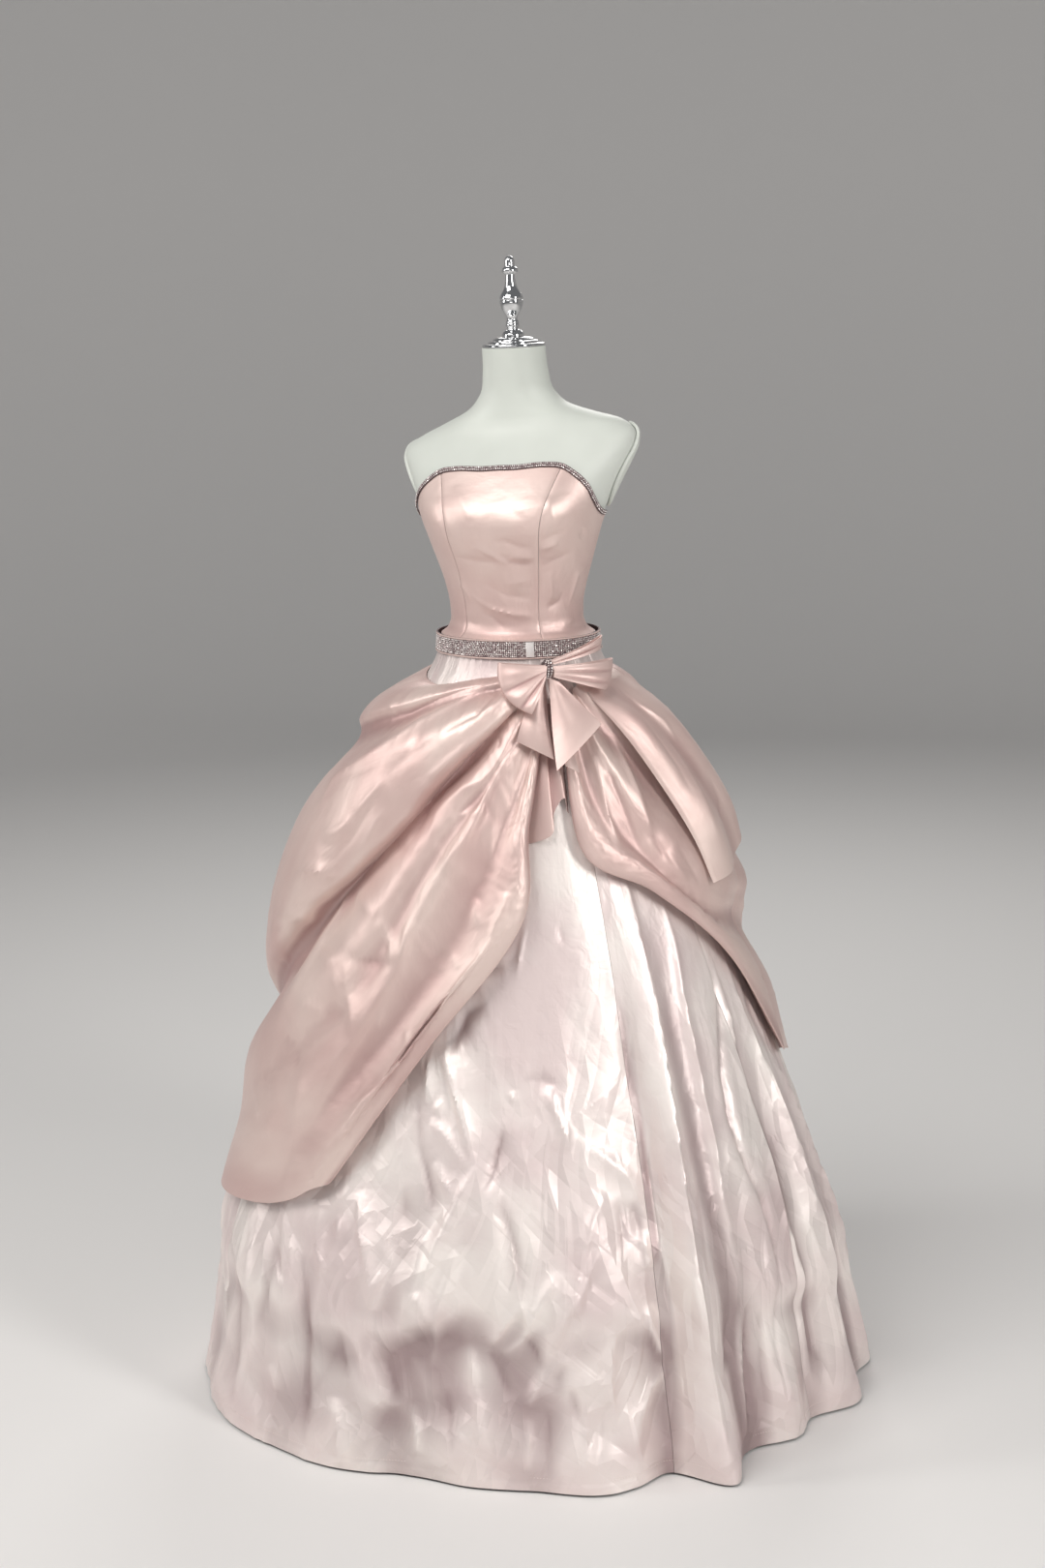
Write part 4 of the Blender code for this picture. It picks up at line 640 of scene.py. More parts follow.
BODICE_CREASES = [
    (-2.6, 6, 5, (-1.2, 1.321), (9.6, 1.323), (18.7, 1.314), (27.5, 1.311)),
    (2.2, 6, 5, (-13.1, 1.318), (-1.0, 1.305), (6.1, 1.295), (11.0, 1.292)),
    (1.6, 5, 5, (12.4, 1.301), (21.0, 1.3), (28.7, 1.299)),
    (-2.4, 5, 5, (4.4, 1.307), (11.0, 1.292), (18.9, 1.289), (28.9, 1.288)),
    (-2.0, 5, 6, (-31.6, 1.298), (-16.8, 1.294), (-1.7, 1.292), (2.5, 1.285)),
    (2.0, 12, 12, (5.6, 1.26), (18.7, 1.264), (28.9, 1.266)),
    (-2.6, 6, 7, (-15.2, 1.263), (-1.4, 1.251), (9.1, 1.242), (29.4, 1.237)),
    (2.6, 6, 5, (-24.5, 1.24), (-6.1, 1.224), (8.4, 1.217), (29.2, 1.211)),
    (-2.2, 6, 6, (-19.4, 1.217), (-6.8, 1.211), (2.5, 1.198), (6.3, 1.181)),
    (1.8, 7, 7, (-38.8, 1.262), (-29.5, 1.249), (-25.5, 1.232)),
    (-1.8, 6, 6, (-34.8, 1.205), (-20.6, 1.194), (-8.2, 1.184)),
    (2.2, 9, 9, (30.6, 1.383), (35.0, 1.361), (41.3, 1.342)),
    (-2.2, 5, 5, (49.0, 1.333), (38.3, 1.328), (31.3, 1.322)),
    (2.0, 4, 5, (45.1, 1.319), (39.2, 1.315), (31.7, 1.311)),
    (-2.4, 6, 5, (58.1, 1.302), (42.0, 1.292), (33.8, 1.283)),
    (2.6, 9, 9, (40.4, 1.277), (43.9, 1.25), (46.7, 1.228)),
    (2.2, 6, 8, (83.8, 1.28), (70.1, 1.268), (67.7, 1.243), (64.9, 1.221)),
    (-2.2, 7, 7, (57.2, 1.246), (53.5, 1.231), (41.3, 1.223)),
    (-2.0, 6, 7, (66.3, 1.333), (62.1, 1.322)),
    (2.0, 7, 7, (72.6, 1.2), (58.4, 1.194), (46.2, 1.182)),
    (-1.6, 8, 8, (6.8, 1.381), (14.5, 1.362), (23.3, 1.351)),
    (1.4, 10, 10, (-22.9, 1.403), (-16.4, 1.377), (-11.0, 1.352)),
    (-1.4, 8, 8, (-33.7, 1.377), (-29.2, 1.352), (-28.1, 1.324)),
]
DRAPE_BACK_CREASES = [
    (-4.0, 8, 12, (103.0, 1.080), (112.0, 1.020), (120.0, 0.930), (125.0, 0.840)),
    (4.0, 12, 8, (112.0, 1.085), (124.0, 1.010), (136.0, 0.900), (142.0, 0.790)),
    (-3.5, 7, 9, (126.0, 1.070), (140.0, 1.020), (157.0, 0.985), (172.0, 0.975)),
    (3.0, 8, 8, (118.0, 0.880), (129.0, 0.850), (141.0, 0.845), (152.0, 0.852)),
    (-3.0, 7, 10, (135.0, 0.930), (146.0, 0.870), (160.0, 0.835), (176.0, 0.830)),
    (3.5, 10, 8, (108.0, 0.760), (120.0, 0.700), (134.0, 0.660), (150.0, 0.650)),
    (-3.0, 9, 7, (124.0, 0.620), (138.0, 0.560), (154.0, 0.530), (170.0, 0.540)),
    (2.5, 7, 7, (146.0, 0.740), (158.0, 0.700), (171.0, 0.690)),
    (2.0, 6, 6, (104.0, 0.950), (110.0, 0.920), (117.0, 0.905)),
    (-2.0, 6, 6, (160.0, 0.620), (168.0, 0.600), (176.0, 0.605)),
    (-4.0, 12, 8, (-104.0, 1.060), (-113.0, 0.990), (-120.0, 0.900), (-124.0, 0.800)),
    (4.0, 8, 12, (-112.0, 1.075), (-126.0, 1.000), (-137.0, 0.910), (-144.0, 0.780)),
    (-3.5, 9, 7, (-128.0, 1.060), (-143.0, 1.005), (-158.0, 0.975), (-173.0, 0.970)),
    (3.0, 8, 8, (-108.0, 0.880), (-120.0, 0.820), (-135.0, 0.800), (-150.0, 0.812)),
    (-3.0, 10, 7, (-133.0, 0.900), (-147.0, 0.860), (-162.0, 0.838), (-176.0, 0.832)),
    (3.5, 8, 10, (-101.0, 0.700), (-114.0, 0.620), (-130.0, 0.560), (-146.0, 0.545)),
    (-3.0, 7, 9, (-110.0, 0.560), (-124.0, 0.480), (-140.0, 0.440), (-155.0, 0.450)),
    (2.5, 7, 7, (-148.0, 0.720), (-160.0, 0.690), (-172.0, 0.700)),
    (2.0, 6, 6, (-102.0, 0.820), (-107.0, 0.780), (-115.0, 0.750)),
    (-2.0, 6, 6, (-158.0, 0.600), (-166.0, 0.570), (-175.0, 0.575)),
]

# Pleats of the bow's loops: where across the loop, how wide as a share of it, and how deep in metres
BOW_PLEATS = {
    "bow_loop_right": [(0.22, 0.10, 0.0035), (0.48, 0.055, -0.0075), (0.64, 0.06, 0.0040),
                       (0.79, 0.05, -0.0085), (0.92, 0.05, 0.0030)],
    "bow_loop_left": [(0.18, 0.10, 0.0022), (0.38, 0.06, -0.0036), (0.57, 0.10, 0.0030),
                      (0.78, 0.06, -0.0044)],
    "bow_loop_upper": [(0.30, 0.12, 0.0025), (0.62, 0.08, -0.0045)],
}

# Grids of the cloth, as rows and columns
GORE_ROWS = 130
GORE_FINENESS = 5                   # columns for each column of the solid
FRONT_GORE_GRID = (215, 170)
BODICE_ROWS = 84
LOOP_GRID = (46, 70)
TAIL_GRID = (54, 32)
KNOT_GRID = (30, 48)
SLIDE_GRID = (24, 28)
JABOT_GRID = (52, 52)
EDGING_GRID = (5, 220)
CAP_SIDES = 56
FINIAL_SIDES = 44

# Radii that creases are laid out on, about those of the cloth
SKIRT_LAY = 0.40
DRAPE_LAY = 0.33
BODICE_LAY = 0.11

# Shape of a crease: roundness of its top, where its fall is measured from, and how fast it falls
CREST_ROUND = 0.02
CREST_TOP = 0.141
CREST_FALL = 1.15
TROUGH_SHARE = 0.7                  # depth of a trough for the same stand
LATTICE = 64                        # cells of noise before it repeats
FOLD_DEPTH = 0.34                   # depth of a full fold as a share of the reach it is looked for in

# Petticoat's hoop: its mean height, then its waves round the skirt as size, number and start in degrees
HOOP_HEIGHT = 0.236
HOOP_WAVES = [(0.016, 3, 20.0), (0.011, 7, 0.0), (0.008, 13, 50.0)]
HOOP_DEPTH = 0.011                  # that the skirt falls in under it
HOOP_DEPTH_WAVE = (0.003, 5, 60.0)
HOOP_FRONT = (0.008, -8.0, 24.0)    # deeper by that much, about that turn, over those degrees
HOOP_SOFT = (9, -40.0)              # number and start of the places where the fall is soft
HOOP_FALL = (-0.006, 0.045)         # from its line, where the fall sets in and where it ends
HOOP_SOFTER = 0.030                 # that a soft fall sets in sooner and ends later
HOOP_RETURN = (0.120, 0.215)        # from its line, where the skirt comes out again
HOOP_LIP = (0.002, 0.012, 0.020)    # metres out, over the line, and how wide

# Seams and edges, in metres
GORE_SEAM_DEPTH = 0.0009
GORE_SEAM_WIDE = 0.0035
HEM_DEPTH = 0.0008
HEM_EDGE = (0.0165, 0.0195)         # heights where the hem's fold ends
STITCH_HEIGHT = 0.024
PANEL_SEAM_DEPTH = 0.0006
PANEL_SEAM_WIDE = 0.0020
PANEL_RADIUS = 0.095                # at the waist, where a panel's seam gap is turned into degrees
DRAPE_SEWN_DEPTH = 0.0018
PUCKER_DEPTH = 0.0022               # along a rolled edge
THIN_WALL = 0.0010                  # of the bodice and the bow
TAIL_ARCH = 0.003                   # that a tail stands out in its middle
TAIL_CURL = 0.0016                  # that it waves across
STITCH_STAND = 0.0006
STONE_STAND = 0.0004                # of the knot's stones

# Small crumples: how deep, then their size, their seed and how much longer they are up than across
SKIRT_CRUMPLE_DEPTH = 0.0070
BODICE_CRUMPLE_DEPTH = 0.0005
SKIRT_CRUMPLES = (0.085, 41, 3.0)
DRAPE_CRUMPLES = (0.055, 77, 1.4)
BODICE_CRUMPLES = (0.045, 12, 0.8)
PUCKERS = (0.017, 33, 1.0)
# patches of the painted shade under the hoop
HOOP_SHADE_PATCHES = (0.130, 91, 1.6)
CRUMPLE_HEIGHTS = (0.72, 0.36)      # they grow from the first height down to the second
CRUMPLE_TURNS = (-12.0, 40.0)       # the turn where they are deepest, and how far they reach from it
JOIN_CALM = 8.0                     # degrees of calm cloth to each side of centre back

# Creases as they are laid: times their stand, times their spread
SKIRT_GAIN = (2.3, 0.85)
DRAPE_GAIN = (1.6, 1.3)
BODICE_GAIN = (1.4, 1.0)
SKIRT_CALM = (1.16, 1.05)           # heights between which the skirt's creases set in, from the waist down

# Painted shade in the folds: metres that a fold is looked for in
SKIRT_REACH = 0.055
DRAPE_REACH = 0.036
JABOT_REACH = 0.012
BODICE_REACH = 0.014
LOOP_REACH = 0.008
TAIL_REACH = 0.012
# Painted shade laid evenly over the whole jabot, as in a recess
JABOT_PAINTED_SHADE = 0.28
# Painted shade under the hoop: where it sets in, where it lifts again, its turns and its least and added
# share
DUSK_HEIGHTS = (0.31, 0.16)
DUSK_LIFTS = (0.09, 0.02)
DUSK_TURNS = (-9.0, 24.0)
DUSK_LEAST = 0.18
DUSK_MORE = 0.36

# Points that the cloth faces away from
SKIRT_MIDDLE = (0.0, 0.05)
DRAPE_MIDDLE = (0.0, 0.03, 0.9)
HEM_MIDDLE = (0.0, 0.05, 0.02)
LOOP_OFF = 0.040                    # of the loops' middle from the skirt

# Stones: how large, how far apart, and how much smaller the least one is
BELT_STONES = {"Size": 0.0025, "Variation": 0.12, "Seed": 3}
BELT_STONE_PITCH = 0.0028
BELT_STONE_ROWS = 8
EDGING_STONES = {"Size": 0.0027, "Variation": 0.12, "Seed": 9}
EDGING_STONE_PITCH = 0.0030
EDGING_STONE_ROWS = 2
EDGING_ROW_STEP = 0.0029
EDGING_TURN = 90.0                  # its ends, at the side seams
EDGING_STONES_END = 89.5
EDGING_TOP = 0.0012                 # over the bodice's edge
EDGING_TALL = 0.0062
EDGING_STAND = 0.0022
EDGING_WALL = 0.0013
KNOT_STONES = {"Size": 0.0031, "Variation": 0.1, "Seed": 5}
KNOT_STRANDS = 6
HEM_STITCHES = {"Size": 0.0034, "Variation": 0.1, "Seed": 21}
HEM_STITCH_PITCH = 0.0045
STONE_TILT = (0.34, 0.34, 0.5)      # radians either way

# Belt: its section as shares of the height and metres off its face, from the lower edge up
BELT_PROFILE = [
    (0.0, -0.0019), (0.0, 0.0003), (0.02, 0.0009), (0.06, 0.0009), (0.085, 0.0003), (0.09, -0.0003),
    (0.91, -0.0003), (0.915, 0.0003), (0.94, 0.0009), (0.98, 0.0009), (1.0, 0.0003), (1.0, -0.0019),
]
BELT_COLUMNS = 240
BELT_STAND = (0.0008, 0.0045)       # its lower edge over the seat gap, its upper edge, off the skirt
SLIDE_WALL = 0.0016
SLIDE_MARGIN = 0.003                # from the belt's edges
SLIDE_STAND = 0.0022

# Armhole plates: share of the way out, metres off the form
PLATE_PROFILE = [
    (0.0, 0.0009), (0.5, 0.0009), (0.8, 0.0009), (0.98, 0.0009), (1.0, 0.0014), (1.0, 0.0040),
    (0.992, 0.0050), (0.970, 0.0055), (0.93, 0.0057), (0.80, 0.0059), (0.55, 0.0060), (0.0, 0.0060),
]
PLATE_SIDES = 72
PLATE_MIDDLE = 0.02                 # share of the way out where its first and last rings lie
TORSO_COLUMNS = 128
SHOULDER_FOOT = 1.40                # between these two heights the torso's rows lie closer
SHOULDER_TOP = 1.53
BASE_SIDES = 96
POLE_SIDES = 48
NECK_FOOT = 1.525                   # where the neck starts to lean

# Bodice panels: name, the seams at the wearer's right and left as turns or a princess seam, columns
BODICE_PANELS = [
    ("bodice_centre_front", "right", "left", 76),
    ("bodice_side_front_left", "left", 90.0, 58),
    ("bodice_side_back_left", 90.0, 137.0, 60),
    ("bodice_back_left", 137.0, 180.0, 40),
    ("bodice_back_right", -180.0, -137.0, 40),
    ("bodice_side_back_right", -137.0, -90.0, 40),
    ("bodice_side_front_right", -90.0, "right", 58),
]
# Draped pieces: name, folds, columns, rows, ends held in a seam, creases, metres of small crumples
DRAPES = [
    ("drape_right_front", DRAPE_RIGHT_FRONT, 150, 200, (4,), DRAPE_RIGHT_CREASES, 0.0014),
    ("drape_left_lower", DRAPE_LEFT_LOWER, 110, 130, (4,), DRAPE_LEFT_CREASES, 0.0012),
    ("drape_left_upper", DRAPE_LEFT_UPPER, 66, 66, (), FLAP_CREASES, 0.0008),
    ("drape_back_left", DRAPE_BACK_LEFT, 84, 100, (0, 4), DRAPE_BACK_CREASES, 0.0022),
    ("drape_back_right", DRAPE_BACK_RIGHT, 90, 110, (0, 4), DRAPE_BACK_CREASES, 0.0022),
]

# Studio: a round room, its floor curved up into the wall, open behind the camera
ROOM_FLAT = 5.2
ROOM_CURVE = 2.0
ROOM_HEIGHT = 4.6
ROOM_SIDES = 96
ROOM_OPEN_REACH = 5.1
ROOM_OPEN_FRONT = -0.6
AIR_COLOUR = (0.80, 0.81, 0.83, 1.0)
LIGHT_COLOUR = (1.0, 0.98, 0.955)
# Lights: name, place, size, the setting that it follows and its share of it, the point it is aimed at
LIGHTS = [
    ("key_light", (-1.1, -2.6, 4.2), (2.7, 1.7), "key", 1.0, (0.0, 0.0, 0.70)),
    ("low_light", (1.2, -4.4, 1.1), (2.0, 0.8), "fill", 0.6, (0.0, 0.0, 0.35)),
    ("left_light", (-3.2, -1.6, 2.3), (0.7, 2.2), "fill", 1.5, (0.0, 0.0, 0.8)),
    ("right_light", (3.2, -1.8, 2.4), (0.7, 2.2), "fill", 3.0, (0.0, 0.0, 0.8)),
    ("back_light", (-0.6, 3.4, 3.0), (1.6, 1.2), "fill", 1.6, (0.0, 0.0, 0.9)),
]

# Cloth as a material
SATIN_ROUGHNESS = 0.46
SLUB_SCALE = (14.0, 420.0, 1.0)
RIB_SCALE = 286.0                   # ribs 1.1 mm apart
CRUSH_HEIGHTS = (0.70, 0.30)        # the crushed facets grow stronger from the first down to the second
CRUSH_LEAN = 0.42
CRUSH_LONG = 0.42                   # they are longer down the cloth than across


# ---------------------------------------------------------------------------- measuring and shaping

def at_rows(table, x):
    """Read every other column of a table at each x in its first column, on a smooth curve."""
    rows = np.array(table, dtype=float)
    keys = rows[:, 0]
    values = rows[:, 1:]
    slopes = np.gradient(values, keys, axis=0)
    x = np.clip(np.asarray(x, dtype=float), keys[0], keys[-1])
    i = np.clip(np.searchsorted(keys, x, side="right") - 1, 0, len(keys) - 2)
    span = (keys[i + 1] - keys[i])[..., None]
    s = (x - keys[i])[..., None] / span
    return ((2 * s**3 - 3 * s**2 + 1) * values[i] + (s**3 - 2 * s**2 + s) * span * slopes[i]
            + (3 * s**2 - 2 * s**3) * values[i + 1] + (s**3 - s**2) * span * slopes[i + 1])


def through(values, shares):
    """Points at shares of a smooth curve through evenly spaced values, along the first axis."""
    values = np.asarray(values, dtype=float)
    steps = len(values) - 1
    ends = np.concatenate([2 * values[:1] - values[1:2], values, 2 * values[-1:] - values[-2:-1]])
    i = np.clip((np.asarray(shares) * steps).astype(int), 0, steps - 1)
    f = (np.asarray(shares) * steps - i).reshape((-1,) + (1,) * (values.ndim - 1))
    a, b, c, d = (ends[i + k] for k in range(4))
    return 0.5 * (2 * b + (c - a) * f + (2 * a - 5 * b + 4 * c - d) * f**2 + (3 * b - a - 3 * c + d) * f**3)


def bell(x):
    """A soft hill, 1 at 0, which falls off to each side."""
    return np.exp(-0.5 * x * x)


def ramp(x, low, high):
    """Smooth step from 0 at low to 1 at high."""
    s = np.clip((x - low) / (high - low), 0.0, 1.0)
    return s * s * (3 - 2 * s)


def turn_gap(a, b):
    """Difference of two turns, between -180 and 180."""
    return (a - b + 180.0) % 360.0 - 180.0


def body_point(turn, height, off=0.0):
    """Points of the form, with a soft general bust, moved out by off."""
    width, front, back, centre = np.moveaxis(at_rows(BODY_SECTIONS, height), -1, 0)
    angle = np.radians(turn)
    depth = back + (front - back) * ramp(np.cos(angle), -FRONT_TO_BACK, FRONT_TO_BACK)
    out, at, wide, middle, tall = BUST
    off = off + out * bell((abs(turn_gap(turn, 0.0)) - at) / wide) * bell((height - middle) / tall)
    x = (width + off) * np.sin(angle)
    heights, rises = zip(*FORM_TILT)
    rise = np.interp(height, heights, rises) * x
    return np.stack([x, centre - (depth + off) * np.cos(angle), height + rise], -1)


def skirt_fold(turn, height):
    """How far the skirt's folds stand out."""
    out = 0.0
    for at, wide, hem, start in SKIRT_FOLDS:
        share = np.clip((start - height) / start, 0.0, None)
        out = out + hem * share**1.5 * bell(turn_gap(turn, at) / wide)
    return out


def skirt_point(turn, height, off=0.0, folded=False):
    """Points of the skirt's outer face, moved out by off."""
    width, share, centre_x, centre_y = np.moveaxis(at_rows(SKIRT_SECTIONS, height), -1, 0)
    angle = np.radians(turn)
    if folded:
        off = off + skirt_fold(turn, height)
    x = centre_x + (width + off) * np.sin(angle)
    return np.stack([x, centre_y - (width * share + off) * np.cos(angle), height + 0 * x], -1)


def bow_point(across, up, off):
    """Points of the bow, laid round the skirt from the knot."""
    height = BOW_HEIGHT + BOW_SLOPE * up
    radius = BOW_RADIUS * at_rows(SKIRT_SECTIONS, height)[..., 0] + off
    return skirt_point(BOW_TURN + np.degrees((across + BOW_HANG * up) / radius), height, off)


def lattice_noise(x, y, seed):
    """Smooth noise between -1 and 1 on a unit lattice."""
    table = np.random.default_rng(seed).uniform(-1, 1, (LATTICE, LATTICE))
    i = np.floor(x).astype(int)
    j = np.floor(y).astype(int)
    u = x - i
    v = y - j
    u = u * u * (3 - 2 * u)
    v = v * v * (3 - 2 * v)
    left, right, here, above = i % LATTICE, (i + 1) % LATTICE, j % LATTICE, (j + 1) % LATTICE
    low = table[left, here] * (1 - u) + table[right, here] * u
    high = table[left, above] * (1 - u) + table[right, above] * u
    return low * (1 - v) + high * v


def crumple(across, up, size, seed, stretch=2.2):
    """Small sharp-topped creases of about that size, longer up than across, between 0 and 1."""
    total = 0.0
    for octave, weight in ((1.0, 0.62), (1.9, 0.38)):
        x = across / size * octave
        y = up / size / stretch * octave
        bend = lattice_noise(x * 0.7 + 3.1, y * 0.7, seed)
        lean = lattice_noise(x * 0.6, y * 0.6 + 9.7, seed + 1)
        x, y = x + 0.9 * bend + 0.8 * lean * y * 0.35, y + 0.7 * lean
        total = total + weight * (1 - abs(lattice_noise(x, y, seed + 2)) ** 0.8)
    return total


def creases(across, up, table):
    """Metres that listed creases stand out. A row has the millimetres out, the millimetres of spread on its
    right and on its left, and its points. Negative ones are troughs."""
    out = np.zeros_like(across)
    for stand, right, left, *points in table:
        ends = np.array(points, dtype=float)
        steps = np.linalg.norm(np.diff(ends, axis=0), axis=1)
        gone = np.concatenate([[0.0], np.cumsum(steps)])
        best = np.full(across.shape, 1e9)
        side = np.zeros(across.shape)
        share = np.zeros(across.shape)
        for k in range(len(steps)):
            (ax, ay), (bx, by) = ends[k], ends[k + 1]
            dx, dy = bx - ax, by - ay
            t = np.clip(((across - ax) * dx + (up - ay) * dy) / steps[k]**2, 0.0, 1.0)
            away = np.hypot(across - ax - t * dx, up - ay - t * dy)
            closer = away < best
            best = np.where(closer, away, best)
            side = np.where(closer, dx * (up - ay) - dy * (across - ax), side)
            share = np.where(closer, (gone[k] + t * steps[k]) / gone[-1], share)
        spread = np.where(side > 0, left, right) / 1000
        crest = np.exp(-(np.sqrt((best / spread)**2 + CREST_ROUND) - CREST_TOP) * CREST_FALL)
        out += stand / 1000 * crest * np.clip(4 * share * (1 - share), 0.0, 1.0)**0.8
    return out


def unit(vectors):
    """Vectors made one long."""
    return vectors / np.linalg.norm(vectors, axis=-1, keepdims=True)


def unit_grid(rows, columns):
    """Shares up and across over a grid of points."""
    return np.meshgrid(np.linspace(0, 1, rows), np.linspace(0, 1, columns), indexing="ij")


def blend(ends, share):
    """Points at a share of the way between two ends."""
    return np.array(ends[0]) * (1 - share[..., None]) + np.array(ends[1]) * share[..., None]


# ---------------------------------------------------------------------------- meshes

def grid_normals(points):
    """Normals of a grid of points."""
    across = np.gradient(points, axis=1)
    up = np.gradient(points, axis=0)
    normals = np.cross(across, up)
    return normals / np.maximum(np.linalg.norm(normals, axis=-1, keepdims=True), 1e-12)


def finish_object(name, vertices, faces, material, uv=None, smooth_angle=40.0):
    """A named mesh object in the scene, with its own UV map in metres where one is given."""
    mesh = bpy.data.meshes.new(name)
    mesh.from_pydata(vertices.reshape(-1, 3).tolist(), [], faces)
    if uv is not None:
        layer = mesh.uv_layers.new(name="cloth")
        index = np.zeros(len(mesh.loops), dtype=np.int32)
        mesh.loops.foreach_get("vertex_index", index)
        layer.data.foreach_set("uv", uv.reshape(-1, 2)[index].astype(np.float32).ravel())
    mesh.materials.append(material)
    mesh.shade_smooth()
    mesh.set_sharp_from_angle(angle=math.radians(smooth_angle))
    obj = bpy.data.objects.new(name, mesh)
    bpy.context.scene.collection.objects.link(obj)
    return obj


def trough_shade_share(points, normals, reach):
    """Where each point lies in the folds within that reach: 0 on a crest, 1 in a trough. It sets the share of
    painted shade in the folds.
    """
    mean = points
    for axis in (0, 1):
        step = np.linalg.norm(np.diff(points, axis=axis), axis=-1).mean()
        half = int(min(max(1, reach / step), points.shape[axis] // 2))
        low = np.repeat(np.take(mean, [0], axis), half, axis)
        high = np.repeat(np.take(mean, [-1], axis), half, axis)
        total = np.cumsum(np.concatenate([0 * low[:1] if axis == 0 else 0 * low[:, :1],
                                          low, mean, high], axis), axis=axis)
        count = mean.shape[axis]
        first = np.take(total, np.arange(count), axis)
        last = np.take(total, np.arange(count) + 2 * half + 1, axis)
        mean = (last - first) / (2 * half + 1)
    depth = ((mean - points) * normals).sum(-1)
    return np.clip(0.5 + depth / (FOLD_DEPTH * reach), 0.0, 1.0)


def cloth(name, points, material, wall=0.0011, axis=(0.0, 0.0), reach=0.030, tone=1.0, painted_shade=0.0):
    """A closed wall of cloth under an open grid of points, rows first. The points are its outer face."""
    rows, columns = points.shape[:2]
    normals = grid_normals(points)
    outward = normals[..., 0] * (points[..., 0] - axis[0]) + normals[..., 1] * (points[..., 1] - axis[1])
    flipped = outward.sum() < 0
    if flipped:
        normals = -normals
    inner = points - normals * wall
    vertices = np.concatenate([points.reshape(-1, 3), inner.reshape(-1, 3)])
    corner = (np.arange(rows - 1)[:, None] * columns + np.arange(columns - 1)).ravel()
    outer_faces = np.stack([corner, corner + 1, corner + columns + 1, corner + columns], -1)
    inner_faces = outer_faces[:, ::-1] + rows * columns
    loop = np.concatenate([
        np.arange(columns),
        np.arange(1, rows) * columns + columns - 1,
        (rows - 1) * columns + np.arange(columns - 2, -1, -1),
        np.arange(rows - 2, 0, -1) * columns])
    after = np.roll(loop, -1)
    rim = np.stack([after, loop, loop + rows * columns, after + rows * columns], -1)
    faces = np.concatenate([outer_faces, inner_faces, rim])
    if flipped:
        faces = faces[:, ::-1]
    step_u = np.linalg.norm(np.diff(points, axis=1), axis=-1).mean(0)
    step_v = np.linalg.norm(np.diff(points, axis=0), axis=-1).mean(1)
    u = np.concatenate([[0.0], np.cumsum(step_u)])
    v = np.concatenate([[0.0], np.cumsum(step_v)])
    uv = np.stack(np.broadcast_arrays(u[None, :], v[:, None]), -1)
    made = finish_object(name, vertices, faces.tolist(), material, np.concatenate([uv, uv]))
    # Painted shade: the fold attribute darkens the cloth's colour in its troughs, scaled by tone, with any
    # painted shade given added on top.
    fold = made.data.attributes.new("fold", "FLOAT", "POINT")
    share = np.clip(tone * trough_shade_share(points, normals, reach) + painted_shade, 0.0, 1.0)
    fold.data.foreach_set("value", np.tile(share.ravel(), 2).astype(np.float32))
    return made


def ring_faces(rings, sides, outward):
    """Faces over a stack of closed rings, with a fan at each end on two last points."""
    low = np.arange(rings - 1)[:, None] * sides
    step = np.arange(sides)
    after = (step + 1) % sides
    faces = np.stack([low + step, low + after, low + sides + after, low + sides + step], -1).reshape(-1, 4)
    faces = faces.tolist()
    first, last, top = rings * sides, rings * sides + 1, (rings - 1) * sides
    faces += [[first, b, a] for a, b in zip(step.tolist(), after.tolist())]
    faces += [[last, top + a, top + b] for a, b in zip(step.tolist(), after.tolist())]
    return faces if outward else [face[::-1] for face in faces]


def lathe(name, profile, sides, material, place, open_end=False):
    """A turned piece from its profile of heights and radii, put in place by a matrix."""
    angles = np.arange(sides) * math.tau / sides
    heights, radii = np.array(profile, dtype=float).T
    ring = np.stack([np.cos(angles), np.sin(angles)], -1)
    points = np.concatenate([radii[:, None, None] * ring, np.broadcast_to(
        heights[:, None, None], (len(heights), sides, 1))], -1)
    vertices = np.concatenate([points.reshape(-1, 3), [[0, 0, heights[0]], [0, 0, heights[-1]]]])
    matrix = np.array(place)
    vertices = vertices @ matrix[:3, :3].T + matrix[:3, 3]
    faces = ring_faces(len(heights), sides, True)
    if open_end:
        faces = faces[:-2 * sides] + faces[-sides:]
    return finish_object(name, vertices, faces, material, smooth_angle=38.0)


def softened(profile, steps=6):
    """A finer profile on a smooth curve, which keeps every corner that is given twice."""
    runs = [[profile[0]]]
    for point in profile[1:]:
        if point == runs[-1][-1]:
            runs.append([point])
        else:
            runs[-1].append(point)
    fine = []
    for run in runs:
        if len(run) > 2:
            shares = np.linspace(0, 1, (len(run) - 1) * steps + 1)
            fine += through(run, shares).tolist()
        else:
            fine += [list(point) for point in run]
    return fine


def on_frame(obj, slot, *nodes):
    """Let a finished piece ride on the part and stand for its CAD nodes, which are hidden; its slot is not
    used.
    """
    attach(obj, "root")
    if nodes:
        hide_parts(*nodes)


# ---------------------------------------------------------------------------- materials

def linear(hex_colour):
    """Turn an sRGB hex colour into linear RGBA."""
    channels = [int(hex_colour[i:i + 2], 16) / 255 for i in (1, 3, 5)]
    return tuple(c / 12.92 if c <= 0.04045 else ((c + 0.055) / 1.055) ** 2.4 for c in channels) + (1.0,)


def fill(tree, node, inputs):
    """Set or link a node's inputs."""
    for name, value in inputs.items():
        if isinstance(value, bpy.types.NodeSocket):
            tree.links.new(value, node.inputs[name])
        else:
            node.inputs[name].default_value = value
    return node


def add(tree, kind, inputs=None, **settings):
    """Add a node, set its settings, and set or link its inputs."""
    made = tree.nodes.new(kind)
    for name, value in settings.items():
        setattr(made, name, value)
    return fill(tree, made, inputs or {})


def own_place(tree):
    """The place on an object, in its own metres."""
    return add(tree, "ShaderNodeTexCoord").outputs["Object"]


def noise(tree, place, scale, detail, **more):
    """A noise texture's value at a place."""
    inputs = {"Vector": place, "Scale": scale, "Detail": detail, **more}
    return add(tree, "ShaderNodeTexNoise", inputs).outputs["Fac"]


